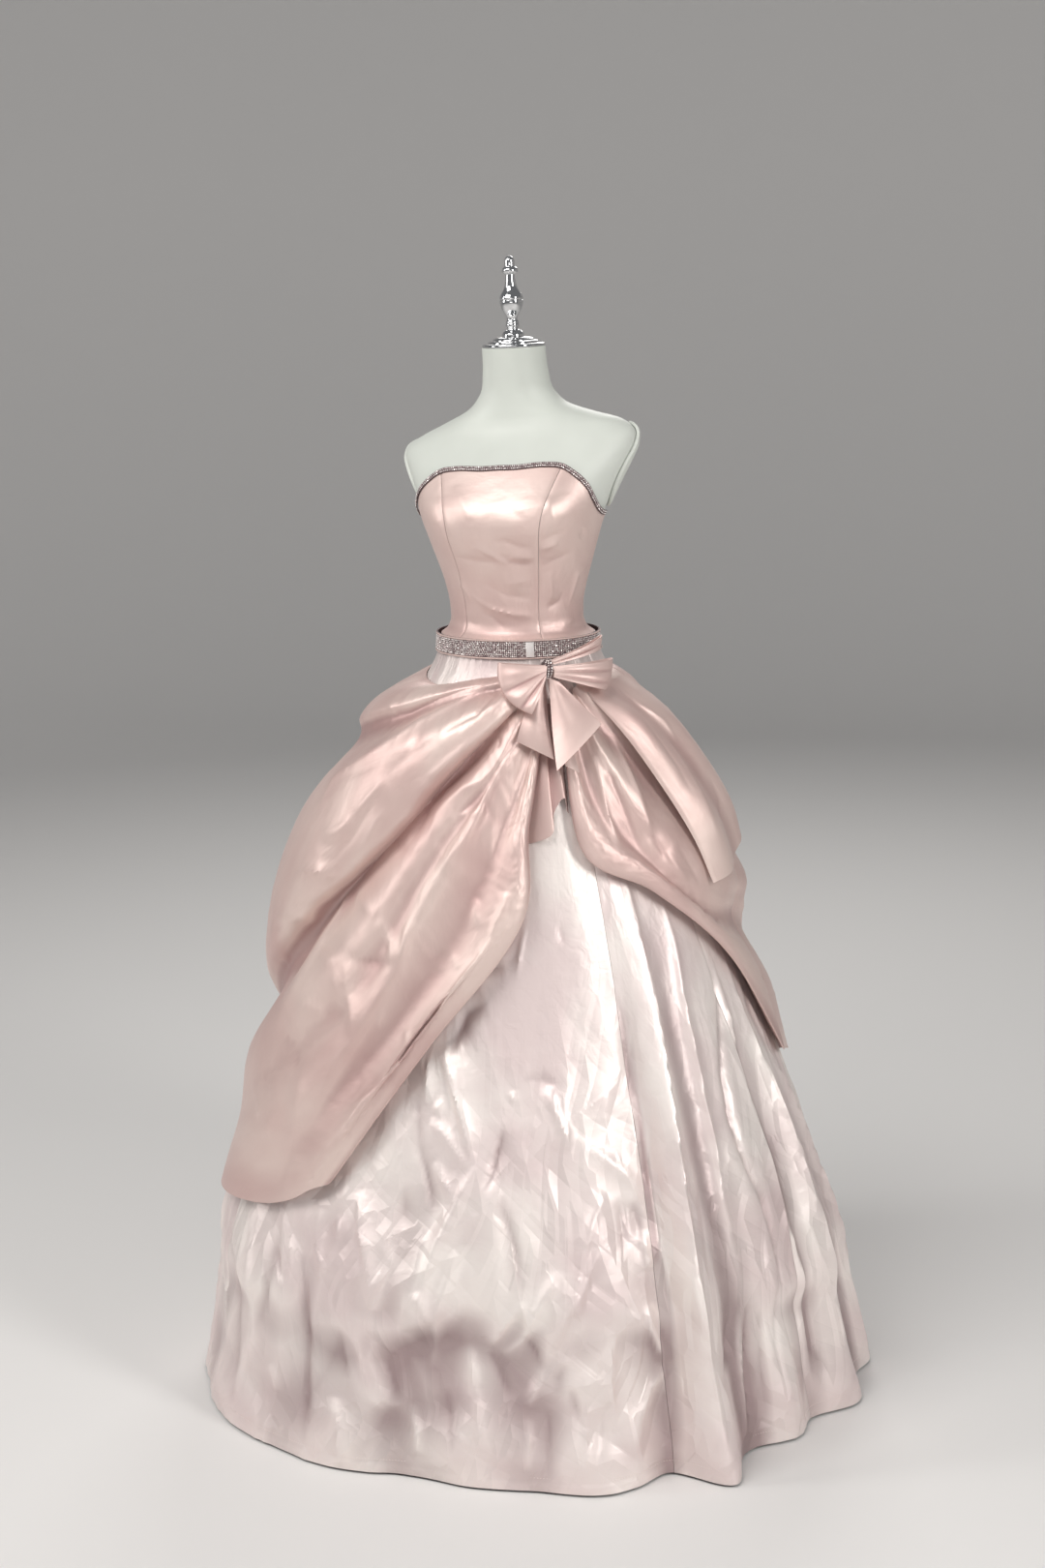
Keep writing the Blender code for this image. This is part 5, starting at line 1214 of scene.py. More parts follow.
def two_tones(tree, value, dark_at, dark, light_at, light):
    """A colour that goes from dark to light as a value rises."""
    made = add(tree, "ShaderNodeValToRGB", {"Fac": value})
    for element, at, colour in zip(made.color_ramp.elements, (dark_at, light_at), (dark, light)):
        element.position = at
        element.color = linear(colour)
    return made.outputs["Color"]


def remap(tree, value, low, high, to_low, to_high):
    """A value moved from one span to another."""
    return add(tree, "ShaderNodeMapRange", {"Value": value, "From Min": low, "From Max": high,
               "To Min": to_low, "To Max": to_high}).outputs["Result"]


def bumped(tree, height, strength, distance, below=None):
    """A normal raised by a value, over the normal below it where one is given."""
    inputs = {"Strength": strength, "Distance": distance, "Height": height}
    if below is not None:
        inputs["Normal"] = below
    return add(tree, "ShaderNodeBump", inputs).outputs["Normal"]


def new_material(name):
    """An empty material with its shader and output joined."""
    material = bpy.data.materials.new(name)
    material.use_nodes = True
    tree = material.node_tree
    tree.nodes.clear()
    shader = tree.nodes.new("ShaderNodeBsdfPrincipled")
    output = tree.nodes.new("ShaderNodeOutputMaterial")
    tree.links.new(shader.outputs["BSDF"], output.inputs["Surface"])
    return material, tree, shader


def satin(name, colour, shade, deep, ripple, crush):
    """Duchess satin: floating warp threads give a broad soft gloss and hide the weave. Its threads are
    about 0.1 mm apart, too fine to show, so the ribs drawn are 1.1 mm apart and very shallow."""
    material, tree, shader = new_material(name)
    place = add(tree, "ShaderNodeUVMap", uv_map="cloth").outputs["UV"]
    drawn = add(tree, "ShaderNodeMapping", {"Vector": place, "Scale": SLUB_SCALE}).outputs["Vector"]
    slubs = noise(tree, drawn, 1.0, 2.0)
    ribs = add(tree, "ShaderNodeTexWave", {"Vector": place, "Scale": RIB_SCALE, "Distortion": 0.6,
               "Detail": 1.0}, wave_type="BANDS", bands_direction="Y").outputs["Fac"]
    tone = two_tones(tree, noise(tree, place, 5.0, 3.0, Roughness=0.5), 0.36, shade, 0.60, colour)
    # Painted shade: where the fold attribute is high, the deep colour is mixed into the base colour, darker
    # in troughs and under the hoop.
    fold = add(tree, "ShaderNodeAttribute", attribute_name="fold").outputs["Fac"]
    fold_shade = remap(tree, fold, 0.46, 1.0, 0.0, 0.75)
    shaded_colour = add(tree, "ShaderNodeMix", {0: fold_shade, 6: tone, 7: linear(deep)}, data_type="RGBA")
    waves = noise(tree, place, 38.0, 2.0, Roughness=0.5, Distortion=0.6)
    facets = crushed_facets(tree, place)
    soft = bumped(tree, waves, 1.0, ripple)
    facet = bumped(tree, facets, 1.0, crush, soft)
    threads = bumped(tree, slubs, 0.25, 0.0002, facet)
    fill(tree, shader, {
        "Base Color": shaded_colour.outputs[2],
        "Roughness": remap(tree, slubs, 0.3, 0.7, SATIN_ROUGHNESS - 0.03, SATIN_ROUGHNESS + 0.04),
        "Normal": bumped(tree, ribs, 0.10, 0.0002, threads),
        "Metallic": 0.42,
        "IOR": 1.55,
        "Specular IOR Level": 0.75,
        "Coat Weight": 0.06,
        "Coat Roughness": 0.42,
        "Sheen Weight": 0.12,
        "Sheen Roughness": 0.45,
        "Sheen Tint": linear("#F6E2E2")})
    return material


def crushed_facets(tree, place):
    """Flat facets of crushed satin in two sizes, strongest low on the skirt."""
    height = add(tree, "ShaderNodeSeparateXYZ", {"Vector": own_place(tree)}).outputs["Z"]
    worn = remap(tree, height, *CRUSH_HEIGHTS, 0.12, 1.0)
    lie = add(tree, "ShaderNodeMapping", {"Vector": place, "Rotation": (0.0, 0.0, CRUSH_LEAN),
              "Scale": (1.0, CRUSH_LONG, 1.0)}).outputs["Vector"]
    bent = add(tree, "ShaderNodeTexNoise", {"Vector": place, "Scale": 3.2, "Detail": 0.6}).outputs["Color"]
    shift = add(tree, "ShaderNodeVectorMath", {0: bent, 1: (0.16, 0.07, 0.0)}, operation="MULTIPLY")
    askew = add(tree, "ShaderNodeVectorMath", {0: lie, 1: shift.outputs["Vector"]}).outputs["Vector"]
    wide, close = (add(tree, "ShaderNodeTexVoronoi", {"Vector": askew, "Scale": scale},
                       distance="MANHATTAN").outputs["Distance"] for scale in (10.5, 24.0))
    both = add(tree, "ShaderNodeMath", {0: close, 1: 0.45, 2: wide}, operation="MULTIPLY_ADD")
    return add(tree, "ShaderNodeMath", {0: both.outputs[0], 1: worn}, operation="MULTIPLY").outputs[0]


def cut_glass():
    """Rhinestones: foil-backed cut glass, machine-faceted, so each flat face glints by itself. Small spots of
    painted glints run from grey-pink to near white in its colour.
    """
    material, tree, shader = new_material("foil_backed_rhinestone")
    # Painted glints: small random spots of the colour go from grey-pink to near white.
    painted_glints = noise(tree, own_place(tree), 330.0, 1.0)
    fill(tree, shader, {
        "Base Color": two_tones(tree, painted_glints, 0.40, "#AF9A9A", 0.58, "#FFF8F4"),
        "Metallic": 0.25,
        "Roughness": 0.16,
        "Coat Weight": 0.8,
        "Coat Roughness": 0.03})
    return material


def silver_mesh():
    """The woven metal backing that carries the stones: dull silver strands, darker between them."""
    material, tree, shader = new_material("silver_mesh_backing")
    grain = noise(tree, own_place(tree), 900.0, 2.0)
    fill(tree, shader, {
        "Base Color": two_tones(tree, grain, 0.35, "#3A2A2C", 0.65, "#6E595B"),
        "Normal": bumped(tree, grain, 0.5, 0.0004),
        "Metallic": 0.3,
        "Roughness": 0.60})
    return material


def matte_shell():
    """Moulded white polystyrene with a matte lacquer: smooth, with a faint orange-peel of about 2 mm."""
    material, tree, shader = new_material("matte_lacquered_polystyrene")
    place = own_place(tree)
    cloud = noise(tree, place, 9.0, 3.0)
    fill(tree, shader, {
        "Base Color": two_tones(tree, cloud, 0.3, "#C6CAC3", 0.7, "#CFD3CC"),
        "Normal": bumped(tree, noise(tree, place, 500.0, 1.0), 0.08, 0.0003),
        "Roughness": 0.5,
        "IOR": 1.5})
    return material


def metal(name, bright, dull, roughness, grain_size, stretch, depth):
    """Bare metal with the marks of its polishing or brushing, grain_size apart in metres."""
    material, tree, shader = new_material(name)
    turned = add(tree, "ShaderNodeMapping", {"Vector": own_place(tree), "Scale": stretch}).outputs["Vector"]
    grain = noise(tree, turned, 1 / grain_size, 3.0)
    fill(tree, shader, {
        "Base Color": two_tones(tree, grain, 0.3, dull, 0.7, bright),
        "Roughness": remap(tree, grain, 0.0, 1.0, roughness * 0.8, roughness * 1.3),
        "Normal": bumped(tree, grain, depth, 0.0001),
        "Metallic": 1.0})
    return material


def studio_paint(colour):
    """Painted studio floor and wall: flat matte paint, rolled on, with faint rolling marks 2 cm apart."""
    material, tree, shader = new_material("matte_studio_paint")
    fill(tree, shader, {
        "Base Color": colour,
        "Normal": bumped(tree, noise(tree, own_place(tree), 50.0, 3.0), 0.05, 0.0005),
        "Roughness": 0.7})
    return material


# ---------------------------------------------------------------------------- repeats

def repeat_tree(name, item, shade_flat=True):
    """A node tree that sets an item on every point of a mesh, standing along its normal."""
    tree = bpy.data.node_groups.new(name, "GeometryNodeTree")
    face = tree.interface
    face.new_socket("Geometry", in_out="INPUT", socket_type="NodeSocketGeometry")
    for label, kind, value in (("Size", "NodeSocketFloat", 0.003), ("Variation", "NodeSocketFloat", 0.1),
                               ("Seed", "NodeSocketInt", 1), ("Material", "NodeSocketMaterial", None)):
        made = face.new_socket(label, in_out="INPUT", socket_type=kind)
        if value is not None:
            made.default_value = value
    face.new_socket("Geometry", in_out="OUTPUT", socket_type="NodeSocketGeometry")
    inputs = tree.nodes.new("NodeGroupInput").outputs
    out = add(tree, "GeometryNodeInputNamedAttribute", {"Name": "out"}, data_type="FLOAT_VECTOR")
    along = add(tree, "GeometryNodeInputNamedAttribute", {"Name": "along"}, data_type="FLOAT_VECTOR")
    stand = add(tree, "FunctionNodeAlignRotationToVector", {"Vector": out.outputs[0]}, axis="Z")
    aim = add(tree, "FunctionNodeAlignRotationToVector", {"Rotation": stand.outputs["Rotation"],
              "Vector": along.outputs[0]}, axis="X", pivot_axis="Z")
    tilt = add(tree, "FunctionNodeRandomValue", {"Seed": inputs["Seed"], 0: [-part for part in STONE_TILT],
               1: STONE_TILT}, data_type="FLOAT_VECTOR")
    turned = add(tree, "FunctionNodeEulerToRotation", {"Euler": tilt.outputs[0]})
    both = add(tree, "FunctionNodeRotateRotation", {"Rotation": aim.outputs["Rotation"],
               "Rotate By": turned.outputs["Rotation"]}, rotation_space="LOCAL")
    least = add(tree, "ShaderNodeMath", {0: 1.0, 1: inputs["Variation"]}, operation="SUBTRACT")
    change = add(tree, "FunctionNodeRandomValue", {"Seed": inputs["Seed"], 2: least.outputs[0], 3: 1.0},
                 data_type="FLOAT")
    size = add(tree, "ShaderNodeMath", {0: inputs["Size"], 1: change.outputs[1]}, operation="MULTIPLY")
    shape = item(tree)
    set_on = add(tree, "GeometryNodeInstanceOnPoints", {"Points": inputs["Geometry"], "Instance": shape,
                 "Rotation": both.outputs["Rotation"], "Scale": size.outputs[0]})
    real = add(tree, "GeometryNodeRealizeInstances", {"Geometry": set_on.outputs["Instances"]})
    flat = add(tree, "GeometryNodeSetShadeSmooth", {"Geometry": real.outputs["Geometry"],
               "Shade Smooth": not shade_flat})
    dressed = add(tree, "GeometryNodeSetMaterial", {"Geometry": flat.outputs["Geometry"],
                  "Material": inputs["Material"]})
    add(tree, "NodeGroupOutput", {"Geometry": dressed.outputs["Geometry"]})
    return tree


def stone_item(tree):
    """A faceted stone one unit across: a low crown with a flat table, over a short girdle."""
    crown = add(tree, "GeometryNodeMeshCone", {"Vertices": 8, "Radius Top": 0.27, "Radius Bottom": 0.5,
                "Depth": 0.24}, fill_type="NGON")
    return crown.outputs["Mesh"]


def stitch_item(tree):
    """A sewing stitch one unit long, lying along X on the cloth."""
    thread = add(tree, "GeometryNodeMeshUVSphere", {"Segments": 5, "Rings": 4, "Radius": 0.5})
    lying = add(tree, "GeometryNodeTransform", {"Geometry": thread.outputs["Mesh"],
                "Scale": (1.0, 0.22, 0.22)})
    return lying.outputs["Geometry"]


def run_tree(name, base, tree, values, slot):
    """Evaluate a node tree on a base object, keep its result as a plain mesh and drop the base."""
    modifier = base.modifiers.new(name, "NODES")
    modifier.node_group = tree
    for socket in tree.interface.items_tree:
        if socket.in_out == "INPUT" and socket.name in values:
            modifier[socket.identifier] = values[socket.name]
    base.update_tag()
    bpy.context.view_layer.update()
    graph = bpy.context.evaluated_depsgraph_get()
    mesh = bpy.data.meshes.new_from_object(base.evaluated_get(graph))
    mesh.name = name
    bpy.data.objects.remove(base)
    obj = bpy.data.objects.new(name, mesh)
    bpy.context.scene.collection.objects.link(obj)
    on_frame(obj, slot)


def point_base(name, points, out, along):
    """A mesh of loose points for repeats, with the directions in which each item stands and lies."""
    mesh = bpy.data.meshes.new(name)
    mesh.from_pydata(points.reshape(-1, 3).tolist(), [], [])
    for label, vectors in (("out", out), ("along", along)):
        layer = mesh.attributes.new(label, "FLOAT_VECTOR", "POINT")
        layer.data.foreach_set("vector", np.asarray(vectors, dtype=np.float32).ravel())
    obj = bpy.data.objects.new(name, mesh)
    bpy.context.scene.collection.objects.link(obj)
    return obj


def spaced(points, pitch):
    """Points a pitch apart along a line of many points."""
    steps = np.linalg.norm(np.diff(points, axis=0), axis=1)
    gone = np.concatenate([[0.0], np.cumsum(steps)])
    wanted = np.arange(pitch / 2, gone[-1], pitch)
    return np.stack([np.interp(wanted, gone, points[:, k]) for k in range(3)], -1)


def set_repeats(name, rows, tree, values, slot):
    """Repeat an item on rows of points. A row has its points, then where each item stands and lies."""
    points, outs, alongs = (np.concatenate(part) for part in zip(*rows))
    run_tree(name, point_base(name, points, outs, alongs), tree, values, slot)


def run_of(line, pitch, out_from=None):
    """Points a pitch apart along a line, with their directions out and along. Out is square to the line,
    away from a point, or from the upright axis where none is given."""
    points = spaced(line, pitch)
    along = unit(np.gradient(points, axis=0))
    if out_from is None:
        out = points * [1.0, 1.0, 0.0]
    else:
        out = points - out_from
    return points, unit(out - (out * along).sum(1, keepdims=True) * along), along


# ---------------------------------------------------------------------------- the gown's pieces

def bodice_line(turn):
    """Height of the bodice's upper edge."""
    return at_rows(NECKLINE, abs(turn_gap(turn, 0.0)))[..., 0]


def bodice_surface(turn, height, off=0.0):
    """Points of the bodice's outer face, moved out by off."""
    return body_point(turn, height, at_rows(BODICE_EASE, height)[..., 0] + CLOTH + off)


def flat_map(turn, height, radius):
    """Metres round and up on the cloth, for laying creases and crumples."""
    return np.radians(turn) * radius, height


def laid_creases(table, turn, height, radius, gain=1.0, wider=1.0):
    """Metres that a table of creases stands out on cloth about that radius from the axis."""
    across, up = flat_map(turn, height, radius)
    rows = []
    for stand, right, left, *points in table:
        out = stand * (gain if stand > 0 else TROUGH_SHARE * gain)
        laid = [(math.radians(at) * radius, tall) for at, tall in points]
        rows.append((out, right * wider, left * wider, *laid))
    return creases(across, up, rows)


def hoop_step(turn, height):
    """The skirt falls in a little under the petticoat's hoop and comes out again at the hem."""
    line = HOOP_HEIGHT
    for size, waves, start in HOOP_WAVES:
        line = line + size * np.sin(np.radians(waves * turn + start))
    below = line - height
    size, waves, start = HOOP_DEPTH_WAVE
    more, at, wide = HOOP_FRONT
    depth = HOOP_DEPTH + size * np.sin(np.radians(waves * turn + start)) + more * bell((turn - at) / wide)
    soft = 0.5 + 0.5 * np.sin(np.radians(HOOP_SOFT[0] * turn + HOOP_SOFT[1]))
    fall = ramp(below, HOOP_FALL[0] - HOOP_SOFTER * soft, HOOP_FALL[1] + HOOP_SOFTER * soft)
    fall = fall * (1 - ramp(below, *HOOP_RETURN))
    out, over, wide = HOOP_LIP
    return out * (1 - soft) * bell((height - line - over) / wide) - depth * fall


def skirt_relief(turn, height):
    """Metres that the skirt's creases and crumples stand out."""
    turn = turn_gap(turn, 0.0)
    across, up = flat_map(turn, height, SKIRT_LAY)
    laid = laid_creases(SKIRT_CREASES, turn, height, SKIRT_LAY, *SKIRT_GAIN)
    joined = ramp(180.0 - abs(turn), 0.0, JOIN_CALM)
    low = ramp(height, *CRUMPLE_HEIGHTS) * joined
    side = 0.45 + 0.55 * bell(turn_gap(turn, CRUMPLE_TURNS[0]) / CRUMPLE_TURNS[1])
    small = crumple(across, up, *SKIRT_CRUMPLES) - 0.5
    calm = 0.12 * joined
    return laid + hoop_step(turn, height) + (calm + low * side) * SKIRT_CRUMPLE_DEPTH * small


def painted_hoop_shade(turn, height):
    """Share of painted shade under the hoop, most at the front, in patches."""
    under = ramp(height, *DUSK_HEIGHTS) * (1 - 0.5 * ramp(height, *DUSK_LIFTS)) * (
        DUSK_LEAST + DUSK_MORE * bell(turn_gap(turn, DUSK_TURNS[0]) / DUSK_TURNS[1]))
    across, up = flat_map(turn_gap(turn, 0.0), height, SKIRT_LAY)
    return under * (0.30 + 0.70 * crumple(across, up, *HOOP_SHADE_PATCHES))


def lay_on(made, slot, node):
    """Finish a piece of cloth: it rides on the part and stands for its solid, which is hidden."""
    on_frame(made, slot, node)


def build_skirt(material):
    """The seven gores, with their seams and hem."""
    for name, first, last, columns in SKIRT_GORES:
        grid = FRONT_GORE_GRID if name == "skirt_front" else (GORE_ROWS, GORE_FINENESS * columns)
        v, u = unit_grid(*grid)
        v = 0.55 * v + 0.45 * v * v
        height = HEM_HEIGHT + (SKIRT_TOP - HEM_HEIGHT) * v
        edge = np.degrees(SEAM_GAP / 2 / at_rows(SKIRT_SECTIONS, height)[..., 0])
        turn = first + edge + u * (last - first - 2 * edge)
        near = np.minimum(u, 1 - u) * (last - first) * np.radians(1) * 0.3
        seam = -GORE_SEAM_DEPTH * np.exp(-(near / GORE_SEAM_WIDE)**2)
        hem = HEM_DEPTH * (1 - ramp(height, *HEM_EDGE))
        held = ramp(height, *SKIRT_CALM)
        points = skirt_point(turn, height, skirt_relief(turn, height) * held + hem + seam, True)
        # The cloth carries painted shade in its troughs and under the hoop.
        made = cloth(name + "_satin", points, material, axis=SKIRT_MIDDLE, reach=SKIRT_REACH,
                     painted_shade=painted_hoop_shade(turn, height))
        lay_on(made, "skirt_satin", name)


def drape_points(folds, wide, tall, seams=()):
    """Points, turns and heights of a draped piece lofted over its table of folds."""
    table = np.array(list(folds.values()), dtype=float)
    low = -360.0
    high = 360.0
    for end in seams:
        if table[0, end, 0] < table[0, 2, 0]:
            low = table[0, end, 0] + SIDE_SEAM_TURN
        else:
            high = table[0, end, 0] - SIDE_SEAM_TURN
    lines = through(np.swapaxes(table, 0, 1), np.linspace(0, 1, wide))
    grid = through(np.swapaxes(lines, 0, 1), np.linspace(0, 1, tall))
    turn = np.clip(grid[..., 0], low, high)
    return skirt_point(turn, grid[..., 1], grid[..., 2] / 1000), turn, grid[..., 1]


def build_drape(name, folds, wide, tall, material, seams=(), laid=(), small=0.0, reach=DRAPE_REACH, painted_shade=0.0):
    """A draped piece with its creases and its rolled edge, calm where it is held in a seam."""
    points, turn, height = drape_points(folds, wide, tall, seams)
    normals = grid_normals(points)
    if ((normals * (points - np.array(DRAPE_MIDDLE)))[..., :2]).sum() < 0:
        normals = -normals
    across, up = flat_map(turn, height, DRAPE_LAY)
    relief = laid_creases(laid, turn, height, DRAPE_LAY, *DRAPE_GAIN)
    v = np.linspace(0, 1, tall)[:, None]
    u = np.linspace(0, 1, wide)[None, :]
    step = 1 / (len(folds) - 1)
    rolled = "turned under" in folds
    lip = 1 - 2 * step * rolled
    calm = ramp(v, 0.0, 0.05) * ramp(lip - v, 0.0, 0.6 * step)
    relief = relief + small * (crumple(across, up, *DRAPE_CRUMPLES) - 0.5)
    pucker = PUCKER_DEPTH * (crumple(across, up, *PUCKERS) - 0.5) * bell((v - lip) / (0.35 * step))
    # Painted shade: darker along the underside of a rolled edge, plus any painted shade given for the piece.
    shade = painted_shade + 0.55 * rolled * ramp(v, lip + 0.30 * step, lip + 0.95 * step)
    if 4 in seams:
        calm = calm * ramp(1 - u, 0.0, 0.05)
    if 0 in seams:
        calm = calm * ramp(u, 0.0, 0.05)
    sewn = -DRAPE_SEWN_DEPTH * (1 - ramp(v, 0.0, 0.03))
    points = points + normals * (relief * calm + pucker + sewn)[..., None]
    made = cloth(name + "_satin", points, material, reach=reach, tone=1.1, painted_shade=shade)
    lay_on(made, "satin", name)


def build_drapes(material):
    """The five drapes and the jabot."""
    for name, folds, wide, tall, seams, laid, small in DRAPES:
        build_drape(name, folds, wide, tall, material, seams, laid, small)
    build_drape("jabot", JABOT, *JABOT_GRID, material, reach=JABOT_REACH, painted_shade=JABOT_PAINTED_SHADE)


def seam_turn(seam, height):
    """Turn of a bodice seam: a fixed one, or the princess seam on the wearer's left or right."""
    if seam not in ("left", "right"):
        return seam + 0 * height
    turn = at_rows(PRINCESS_SEAM, height)[..., 0]
    return turn if seam == "left" else -turn


def build_bodice(material):
    """The seven panels, from the waist seam up to the neckline."""
    edge = math.degrees(SEAM_GAP / 2 / PANEL_RADIUS)
    for name, first, last, wide in BODICE_PANELS:
        v, u = unit_grid(BODICE_ROWS, wide)
        height = WAIST_SEAM + v * (SHOULDER_FOOT - WAIST_SEAM)
        for _ in range(4):
            start = seam_turn(first, height) + edge
            turn = start + u * (seam_turn(last, height) - edge - start)
            height = WAIST_SEAM + v * (bodice_line(turn) - WAIST_SEAM)
        points = bodice_surface(turn, height)
        across_panel = seam_turn(last, height) - seam_turn(first, height)
        near = np.minimum(u, 1 - u) * across_panel * np.radians(1) * BODICE_LAY
        seam = -PANEL_SEAM_DEPTH * np.exp(-(near / PANEL_SEAM_WIDE)**2)
        across, up = flat_map(turn, height, BODICE_LAY)
        laid = laid_creases(BODICE_CREASES, turn_gap(turn, 0.0), height, BODICE_LAY, *BODICE_GAIN)
        held = ramp(v, 0.02, 0.12) * ramp(1 - v, 0.02, 0.12)
        small = BODICE_CRUMPLE_DEPTH * (crumple(across, up, *BODICE_CRUMPLES) - 0.5)
        points = points + grid_normals(points) * ((laid + small) * held + seam)[..., None]
        made = cloth(name + "_satin", points, material, THIN_WALL, reach=BODICE_REACH, tone=0.7)
        lay_on(made, "satin", name)


def build_bow(material):
    """The bow's three loops and three tails."""
    middle = bow_point(0.0, 0.0, LOOP_OFF)[:2]
    for name, loop in BOW_LOOPS.items():
        v, u = unit_grid(*LOOP_GRID)
        root = blend(loop["root"], v)
        tip = blend(loop["tip"], v)
        tip = tip + unit(tip - root) * (loop["bulge"] * np.sin(np.pi * v))[..., None]
        reach = np.sin(np.pi * u)**0.8
        place = root + (tip - root) * reach[..., None]
        fold = sum(deep * np.exp(-((v - at) / wide)**2) for at, wide, deep in BOW_PLEATS[name])
        fold = fold * np.sin(np.pi * np.clip(u * 1.12, 0, 1))**0.7 * (1.15 - reach)
        off = loop["lift"] + loop["puff"] * np.cos(np.pi * u) * (0.34 + 0.66 * np.sin(np.pi * u))
        points = bow_point(place[..., 0], place[..., 1], off + np.where(u < 0.5, fold, 0.0))
        made = cloth(name + "_satin", points, material, THIN_WALL, middle, LOOP_REACH)
        lay_on(made, "satin", name)
    for name, tail in BOW_TAILS.items():
        v, u = unit_grid(*TAIL_GRID)
        root = blend(tail["root"], u)
        place = root + (blend(tail["end"], u) - root) * v[..., None]
        low, quarter, high = tail["lift"]
        bend = (high - low - 4 * (quarter - low)) / 0.75
        off = low + (high - low - bend) * v + bend * v * v
        off = off + TAIL_ARCH * np.sin(np.pi * u) * np.sin(np.pi * v)
        off = off + TAIL_CURL * np.sin(math.tau * (u - 0.12)) * np.sin(np.pi * v)**0.7 * (1.1 - 0.6 * v)
        points = bow_point(place[..., 0], place[..., 1], off)
        made = cloth(name + "_satin", points, material, THIN_WALL, reach=TAIL_REACH)
        lay_on(made, "satin", name)


def knot_point(round_turn, down):
    """Points of the knot's oval, by the angle round its long axis and the angle down from its top."""
    wide, tall, deep = KNOT_SIZE
    x = 0.5 * np.sin(down) * np.cos(round_turn)
    y = 0.5 * np.cos(down)
    z = 0.5 * np.sin(down) * np.sin(round_turn)
    return bow_point(x * wide, y * tall, KNOT_MIDDLE + z * deep)


def build_knot(backing, glass, stone_tree):
    """The bow's knot: an oval core wrapped by strands of stones."""
    rows, columns = KNOT_GRID
    v, u = np.meshgrid(np.linspace(0.02, 0.98, rows) * np.pi,
                       np.linspace(0, 1, columns, endpoint=False) * math.tau, indexing="ij")
    caps = bow_point(np.zeros(2), np.array([0.5, -0.5]) * KNOT_SIZE[1], np.full(2, KNOT_MIDDLE))
    made = finish_object("knot_core", np.concatenate([knot_point(u, v).reshape(-1, 3), caps]),
                         ring_faces(rows, columns, True), backing)
    on_frame(made, "crystal_trim", "bow_knot")
    centre = bow_point(0.0, 0.0, KNOT_MIDDLE)
    strands = []
    for strand in range(KNOT_STRANDS):
        spin = math.radians(-8 + 196 * strand / (KNOT_STRANDS - 1))
        line = knot_point(spin, np.linspace(0.1, np.pi - 0.1, 11))
        out = unit((line - centre) * [1.0, 1.0, 0.2])
        strands.append((line + out * STONE_STAND, out, unit(np.gradient(line, axis=0))))
    set_repeats("knot_stones", strands, stone_tree, {**KNOT_STONES, "Material": glass}, "crystal_trim")


def belt_surface(turn, share, off=0.0):
    """Points of the belt's outer face, share of the way up."""
    height = BELT_BOTTOM + share * (BELT_TOP - BELT_BOTTOM)
    low = skirt_point(turn, BELT_BOTTOM + 0 * turn, BELT_WALL + SEAT_GAP + BELT_STAND[0] + off)
    high = skirt_point(turn, WAIST_SEAM + 0 * turn, BELT_WALL + BELT_STAND[1] + off)
    points = low + (high - low) * np.asarray(share)[..., None]
    points[..., 2] = height
    return points


def build_belt(backing, glass, plate, stone_tree, satin_cloth):
    """Crystal belt: a closed mesh band with rows of stones, narrow satin bindings and a plain slide."""
    turn = np.linspace(0, 360, BELT_COLUMNS, endpoint=False)
    rings = [belt_surface(turn, np.full(turn.shape, share), off) for share, off in BELT_PROFILE]
    step = np.arange(BELT_COLUMNS)
    after = (step + 1) % BELT_COLUMNS
    faces = []
    for low in range(len(rings)):
        high = (low + 1) % len(rings)
        faces += np.stack([low * BELT_COLUMNS + step, low * BELT_COLUMNS + after, high * BELT_COLUMNS + after,
                           high * BELT_COLUMNS + step], -1).tolist()
    made = finish_object("belt_mesh", np.stack(rings), faces, backing)
    made.data.materials.append(satin_cloth)
    bound = [0 < k // BELT_COLUMNS < 4 or 6 < k // BELT_COLUMNS < 10 for k in range(len(faces))]
    made.data.polygons.foreach_set("material_index", np.array(bound, dtype=np.int32))
    lay_on(made, "crystal_trim", "belt_band")
    rows = []
    for row in range(BELT_STONE_ROWS):
        share = (row + 0.5) / BELT_STONE_ROWS * 0.80 + 0.10
        line = spaced(belt_surface(np.linspace(0, 360, 721), np.full(721, share), -0.0001), BELT_STONE_PITCH)
        along = unit(np.gradient(line, axis=0))
        rows.append((line, np.cross(along, [0.0, 0.0, 1.0]), along))
    set_repeats("belt_stones", rows, stone_tree, {**BELT_STONES, "Material": glass}, "crystal_trim")
    v, u = unit_grid(*SLIDE_GRID)
    tall = BELT_TOP - BELT_BOTTOM
    turn = SLIDE_TURNS[0] + u * (SLIDE_TURNS[1] - SLIDE_TURNS[0])
    points = belt_surface(turn, (SLIDE_MARGIN + v * (tall - 2 * SLIDE_MARGIN)) / tall, SLIDE_STAND)
    on_frame(cloth("belt_slide_plate", points, plate, SLIDE_WALL), "chrome", "belt_slide")


def build_trim(backing, glass, stone_tree):
    """Edging of fine stones round the front of the neckline, side seam to side seam."""
    v, u = unit_grid(*EDGING_GRID)
    turn = -EDGING_TURN + 2 * EDGING_TURN * u
    height = bodice_line(turn) + EDGING_TOP - EDGING_TALL * (1 - v)
    points = bodice_surface(turn, height, EDGING_STAND + SEAT_GAP)
    on_frame(cloth("neckline_band", points, backing, EDGING_WALL), "crystal_trim", "neckline_trim")
    turns = np.linspace(-EDGING_STONES_END, EDGING_STONES_END, 700)
    rows = []
    for row in range(EDGING_STONE_ROWS):
        height = bodice_line(turns) - 0.0004 - EDGING_ROW_STEP * row
        rows.append(run_of(bodice_surface(turns, height, 0.0023 + SEAT_GAP), EDGING_STONE_PITCH))
    set_repeats("neckline_stones", rows, stone_tree, {**EDGING_STONES, "Material": glass}, "crystal_trim")


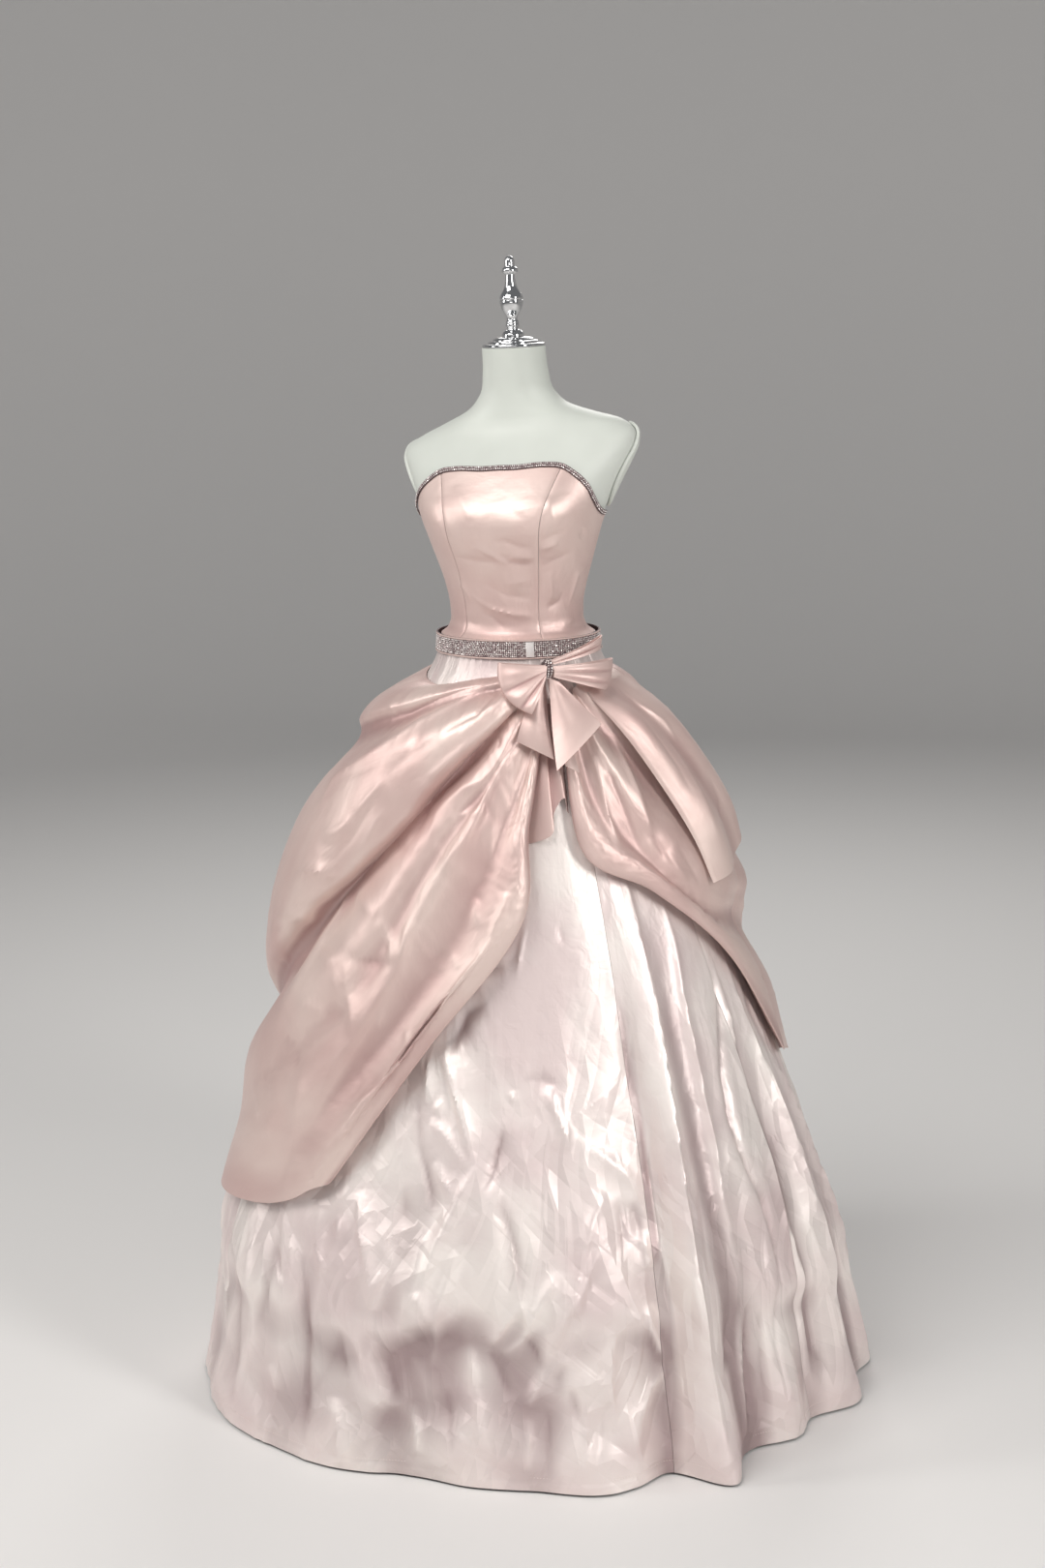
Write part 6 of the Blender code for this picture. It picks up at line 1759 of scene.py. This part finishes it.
def build_form(shell):
    """The smooth limbless torso and the oval plates over its armholes."""
    heights = np.concatenate([np.linspace(FORM_BOTTOM, SHOULDER_FOOT, 50)[:-1],
                              np.linspace(SHOULDER_FOOT, SHOULDER_TOP, 50)[:-1],
                              np.linspace(SHOULDER_TOP, NECK_TOP, 20)])
    turns = np.linspace(0, 360, TORSO_COLUMNS, endpoint=False)
    height, turn = np.meshgrid(heights, turns, indexing="ij")
    points = body_point(turn, height)
    centre = at_rows(BODY_SECTIONS, height)[..., 3]
    leaning = np.clip((height - NECK_FOOT) / (NECK_TOP - NECK_FOOT), 0.0, 1.0)
    points[..., 2] += math.tan(math.radians(NECK_LEAN)) * leaning * (points[..., 1] - centre)
    ends = np.stack([points[0].mean(0), points[-1].mean(0)])
    made = finish_object("form_shell", np.concatenate([points.reshape(-1, 3), ends]),
                         ring_faces(*height.shape, True), shell)
    on_frame(made, "form_white", "form_torso")
    fine = np.array(softened(PLATE_PROFILE[1:-1], 4))
    fine = np.concatenate([PLATE_PROFILE[:1], fine, PLATE_PROFILE[-1:]])
    fine[0, 0] = fine[-1, 0] = PLATE_MIDDLE
    angle = np.linspace(0, math.tau, PLATE_SIDES, endpoint=False)
    share, off = fine[:, :1], fine[:, 1:]
    for name, side in (("form_arm_cap_left", 1), ("form_arm_cap_right", -1)):
        turn = ARM_CAP_TURN + ARM_CAP_SPREAD[0] * share * np.cos(angle)
        height = ARM_CAP_HEIGHT + ARM_CAP_SPREAD[1] * share * np.sin(angle)
        here = body_point(side * turn, height)
        out = unit(np.cross(body_point(side * (turn + 1.0), height) - here,
                            body_point(side * turn, height + 0.001) - here) * side)
        outer = here + out * off[..., None]
        middles = np.stack([outer.mean(1)[k] for k in (0, -1)])
        plate = finish_object(name + "_plate", np.concatenate([outer.reshape(-1, 3), middles]),
                              ring_faces(len(fine), PLATE_SIDES, side > 0), shell)
        on_frame(plate, "form_white", name)


def build_metalwork(chrome, steel):
    """Chrome neck cap and turned finial, leaning with the neck, and the stand below."""
    centre = float(at_rows(BODY_SECTIONS, NECK_TOP)[3])
    heights, rises = zip(*FORM_TILT)
    rise = float(np.interp(NECK_TOP, heights, rises))
    lean = math.radians(NECK_LEAN)
    turned = Matrix.Rotation(-math.atan(rise), 4, "Y") @ Matrix.Rotation(lean, 4, "X")
    place = Matrix.Translation((0.0, centre, NECK_TOP + SEAT_GAP / math.cos(lean))) @ turned
    level = Matrix.Identity(4)
    base = [(0.0, BASE_RADIUS - 0.002), (0.0015, BASE_RADIUS), (BASE_THICK - 0.004, BASE_RADIUS),
            (BASE_THICK - 0.001, BASE_RADIUS - 0.003), (BASE_THICK, BASE_RADIUS - 0.008),
            (BASE_THICK + 0.002, 0.030)]
    pole = [(BASE_THICK + 0.002 + SEAT_GAP, POLE_RADIUS), (FORM_BOTTOM - SEAT_GAP, POLE_RADIUS)]
    for name, profile, sides, material, where, slot, node in (
            ("neck_cap_chrome", softened(CAP_PROFILE), CAP_SIDES, chrome, place, "chrome", "neck_cap"),
            ("finial_chrome", softened(FINIAL_PROFILE), FINIAL_SIDES, chrome, place, "chrome", "finial"),
            ("stand_base_steel", base, BASE_SIDES, steel, level, "stand_steel", "stand_base"),
            ("stand_pole_steel", pole, POLE_SIDES, steel, level, "stand_steel", "stand_pole")):
        on_frame(lathe(name, profile, sides, material, where), slot, node)


def build_stitching(thread, stitch_tree):
    """Hem stitching of the skirt, a row of short stitches a little over the edge."""
    turns = np.linspace(-180, 180, 2400)
    line = skirt_point(turns, np.full(turns.shape, STITCH_HEIGHT), 0.0, True)
    points, out, along = run_of(line, HEM_STITCH_PITCH, HEM_MIDDLE)
    set_repeats("skirt_hem_stitches", [(points + out * STITCH_STAND, out, along)], stitch_tree,
                {**HEM_STITCHES, "Material": thread}, "skirt_satin")


# ---------------------------------------------------------------------------- sizes and colours to change

def tone(label, about, colour):
    """A colour to change, as a hex text."""
    return bpy.props.StringProperty(name=label, description=about, default=colour)


class GownColours(bpy.types.PropertyGroup):
    """Colours of the cloth, the painted shade in its folds, and the studio floor."""
    satin: tone("Satin", "Overskirt, bodice and bow", "#E2CCC4")
    satin_shade: tone("Satin shade", "Its deeper tone", "#D2B4AE")
    skirt: tone("Skirt satin", "The paler skirt", "#F5ECE7")
    skirt_shade: tone("Skirt shade", "Its deeper tone", "#E4D3D1")
    # Painted shade: fold and skirt_fold are the colours of the shade painted into the satin's troughs and
    # under the skirt's hoop.
    fold: tone("Fold", "Tone down in the folds", "#A88280")
    skirt_fold: tone("Skirt fold", "Tone down in the skirt's folds", "#8A6E70")
    floor: bpy.props.FloatVectorProperty(name="Floor", description="Studio floor", subtype="COLOR", size=4,
                                         default=(0.74, 0.73, 0.72, 1.0), min=0.0, max=1.0)


class GownStage(bpy.types.PropertyGroup):
    """The studio's lights."""
    key: bpy.props.FloatProperty(name="Key light", description="Power of the main light", default=112.0,
                                 min=0.0, unit="POWER")
    fill: bpy.props.FloatProperty(name="Fill light", description="Power of the side light", default=24.0,
                                  min=0.0, unit="POWER")
    air: bpy.props.FloatProperty(name="Ambient", description="Strength of the even light", default=0.22,
                                 min=0.0)


def colours():
    return bpy.context.scene.gown_colours


def shared(name, make, *values):
    """A material by its name, made once."""
    return bpy.data.materials.get(name) or make(*values)


def gown_satin():
    return shared("blush_duchess_satin", satin, "blush_duchess_satin", colours().satin,
                  colours().satin_shade, colours().fold, 0.0006, 0.0010)


def skirt_cloth():
    return shared("pale_duchess_satin", satin, "pale_duchess_satin", colours().skirt,
                  colours().skirt_shade, colours().skirt_fold, 0.0010, 0.0135)


def stones():
    tree = bpy.data.node_groups.get("set_stones") or repeat_tree("set_stones", stone_item)
    return shared("silver_mesh_backing", silver_mesh), shared("foil_backed_rhinestone", cut_glass), tree


def chrome_metal():
    return shared("polished_chrome", metal, "polished_chrome", "#E4E5E6", "#CFD0D2", 0.07, 0.004,
                  (1.0, 1.0, 6.0), 0.03)


class GOWN_OT_form(bpy.types.Operator):
    """Smooth limbless torso with its armhole plates"""
    bl_idname = "gown.form"
    bl_label = "Dress form"

    def execute(self, context):
        build_form(shared("matte_lacquered_polystyrene", matte_shell))
        return {"FINISHED"}


class GOWN_OT_metalwork(bpy.types.Operator):
    """Chrome cap and finial, steel pole and base"""
    bl_idname = "gown.metalwork"
    bl_label = "Finial and stand"

    def execute(self, context):
        build_metalwork(chrome_metal(), shared("brushed_steel", metal, "brushed_steel", "#C9CACC",
                                               "#A9ABAE", 0.3, 0.002, (1.0, 1.0, 20.0), 0.2))
        return {"FINISHED"}


class GOWN_OT_bodice(bpy.types.Operator):
    """Strapless princess-seamed bodice in seven panels"""
    bl_idname = "gown.bodice"
    bl_label = "Bodice"

    def execute(self, context):
        build_bodice(gown_satin())
        return {"FINISHED"}


class GOWN_OT_trim(bpy.types.Operator):
    """Edging of fine stones along the neckline"""
    bl_idname = "gown.trim"
    bl_label = "Neckline edging"

    def execute(self, context):
        backing, glass, tree = stones()
        build_trim(backing, glass, tree)
        return {"FINISHED"}


class GOWN_OT_skirt(bpy.types.Operator):
    """Skirt of seven gores"""
    bl_idname = "gown.skirt"
    bl_label = "Skirt"

    def execute(self, context):
        build_skirt(skirt_cloth())
        return {"FINISHED"}


class GOWN_OT_belt(bpy.types.Operator):
    """Belt of stones with its slide"""
    bl_idname = "gown.belt"
    bl_label = "Belt"

    def execute(self, context):
        backing, glass, tree = stones()
        plate = shared("satin_silver", metal, "satin_silver", "#FBF7F5", "#E6DEDC", 0.30, 0.002,
                       (1.0, 1.0, 6.0), 0.1)
        build_belt(backing, glass, plate, tree, gown_satin())
        return {"FINISHED"}


class GOWN_OT_drapes(bpy.types.Operator):
    """Draped overskirt, front and back, and the jabot"""
    bl_idname = "gown.drapes"
    bl_label = "Overskirt"

    def execute(self, context):
        build_drapes(gown_satin())
        return {"FINISHED"}


class GOWN_OT_bow(bpy.types.Operator):
    """Bow of three loops and three tails with its knot"""
    bl_idname = "gown.bow"
    bl_label = "Bow"

    def execute(self, context):
        backing, glass, tree = stones()
        build_knot(backing, glass, tree)
        build_bow(gown_satin())
        return {"FINISHED"}


class GOWN_OT_stitching(bpy.types.Operator):
    """Hem stitching"""
    bl_idname = "gown.stitching"
    bl_label = "Stitching"

    def execute(self, context):
        tree = repeat_tree("sew_stitches", stitch_item, False)
        build_stitching(skirt_cloth(), tree)
        return {"FINISHED"}


def build_room(paint):
    """A round room with its floor curved up into the wall, open in front."""
    sweep = [(0.0, 0.01), (0.0, ROOM_FLAT)]
    for degrees in range(9, 90, 9):
        angle = math.radians(degrees)
        sweep.append((ROOM_CURVE - ROOM_CURVE * math.cos(angle), ROOM_FLAT + ROOM_CURVE * math.sin(angle)))
    sweep += [(ROOM_CURVE, ROOM_FLAT + ROOM_CURVE), (ROOM_HEIGHT, ROOM_FLAT + ROOM_CURVE)]
    room = lathe("studio_floor", sweep[::-1], ROOM_SIDES, paint, Matrix.Identity(4), True)
    walls = bmesh.new()
    walls.from_mesh(room.data)
    open_side = []
    for face in walls.faces:
        middle = face.calc_center_median()
        if middle.xy.length > ROOM_OPEN_REACH and middle.y < ROOM_OPEN_FRONT:
            open_side.append(face)
    bmesh.ops.delete(walls, geom=open_side, context="FACES")
    walls.to_mesh(room.data)
    walls.free()


def build_lights(scene):
    """Even light from the air, and the soft lights of the studio."""
    world = bpy.data.worlds.new("studio_air")
    world.use_nodes = True
    air = world.node_tree.nodes["Background"]
    air.inputs["Color"].default_value = AIR_COLOUR
    air.inputs["Strength"].default_value = scene.gown_stage.air
    scene.world = world
    for name, place, size, setting, share, aim in LIGHTS:
        lamp = bpy.data.lights.new(name, "AREA")
        lamp.shape = "RECTANGLE"
        lamp.size, lamp.size_y = size
        lamp.energy = share * getattr(scene.gown_stage, setting)
        lamp.color = LIGHT_COLOUR
        light = bpy.data.objects.new(name, lamp)
        light.location = place
        light.rotation_euler = (Vector(aim) - Vector(place)).to_track_quat("-Z", "Y").to_euler()
        scene.collection.objects.link(light)


def build_camera(scene):
    """The camera at the photograph's angle."""
    lens = bpy.data.cameras.new("camera")
    lens.sensor_width = CAMERA_SENSOR
    lens.lens = CAMERA_LENS
    lens.clip_end = CAMERA_REACH
    camera = bpy.data.objects.new("camera", lens)
    azimuth, down = math.radians(CAMERA_AZIMUTH), math.radians(CAMERA_DOWN)
    camera.location = (CAMERA_DISTANCE * math.sin(azimuth), -CAMERA_DISTANCE * math.cos(azimuth),
                       CAMERA_HEIGHT)
    toward = Vector((-math.sin(azimuth) * math.cos(down), math.cos(azimuth) * math.cos(down),
                     -math.sin(down)))
    turned = toward.to_track_quat("-Z", "Y").to_matrix().to_4x4()
    turned = turned @ Matrix.Rotation(math.radians(CAMERA_ROLL), 4, "Z")
    camera.rotation_euler = turned.to_euler()
    scene.collection.objects.link(camera)
    scene.camera = camera
    scene.view_settings.view_transform = "Standard"


class GOWN_OT_stage(bpy.types.Operator):
    """Studio floor, lights and camera"""
    bl_idname = "gown.stage"
    bl_label = "Studio"

    def execute(self, context):
        build_room(studio_paint(tuple(colours().floor)))
        build_lights(context.scene)
        build_camera(context.scene)
        return {"FINISHED"}


class GOWN_PT_panel(bpy.types.Panel):
    """Pieces of the gown"""
    bl_idname = "GOWN_PT_panel"
    bl_label = "Gown"
    bl_space_type = "VIEW_3D"
    bl_region_type = "UI"
    bl_category = "Gown"

    def draw(self, context):
        for group in (context.scene.gown_colours, context.scene.gown_stage):
            for name in group.bl_rna.properties.keys():
                if name not in ("rna_type", "name"):
                    self.layout.prop(group, name)
        for operator in OPERATORS:
            self.layout.operator(operator.bl_idname)


OPERATORS = (GOWN_OT_form, GOWN_OT_metalwork, GOWN_OT_belt, GOWN_OT_skirt, GOWN_OT_drapes, GOWN_OT_bodice,
             GOWN_OT_trim, GOWN_OT_bow, GOWN_OT_stitching, GOWN_OT_stage)
CLASSES = (GownColours, GownStage, *OPERATORS, GOWN_PT_panel)


def register():
    for made in CLASSES:
        bpy.utils.register_class(made)
    bpy.types.Scene.gown_colours = bpy.props.PointerProperty(type=GownColours)
    bpy.types.Scene.gown_stage = bpy.props.PointerProperty(type=GownStage)


def unregister():
    del bpy.types.Scene.gown_stage
    del bpy.types.Scene.gown_colours
    for made in reversed(CLASSES):
        bpy.utils.unregister_class(made)


def main():
    register()
    for operator in OPERATORS:
        group, name = operator.bl_idname.split(".")
        getattr(getattr(bpy.ops, group), name)()


if __name__ == "__main__":
    main()
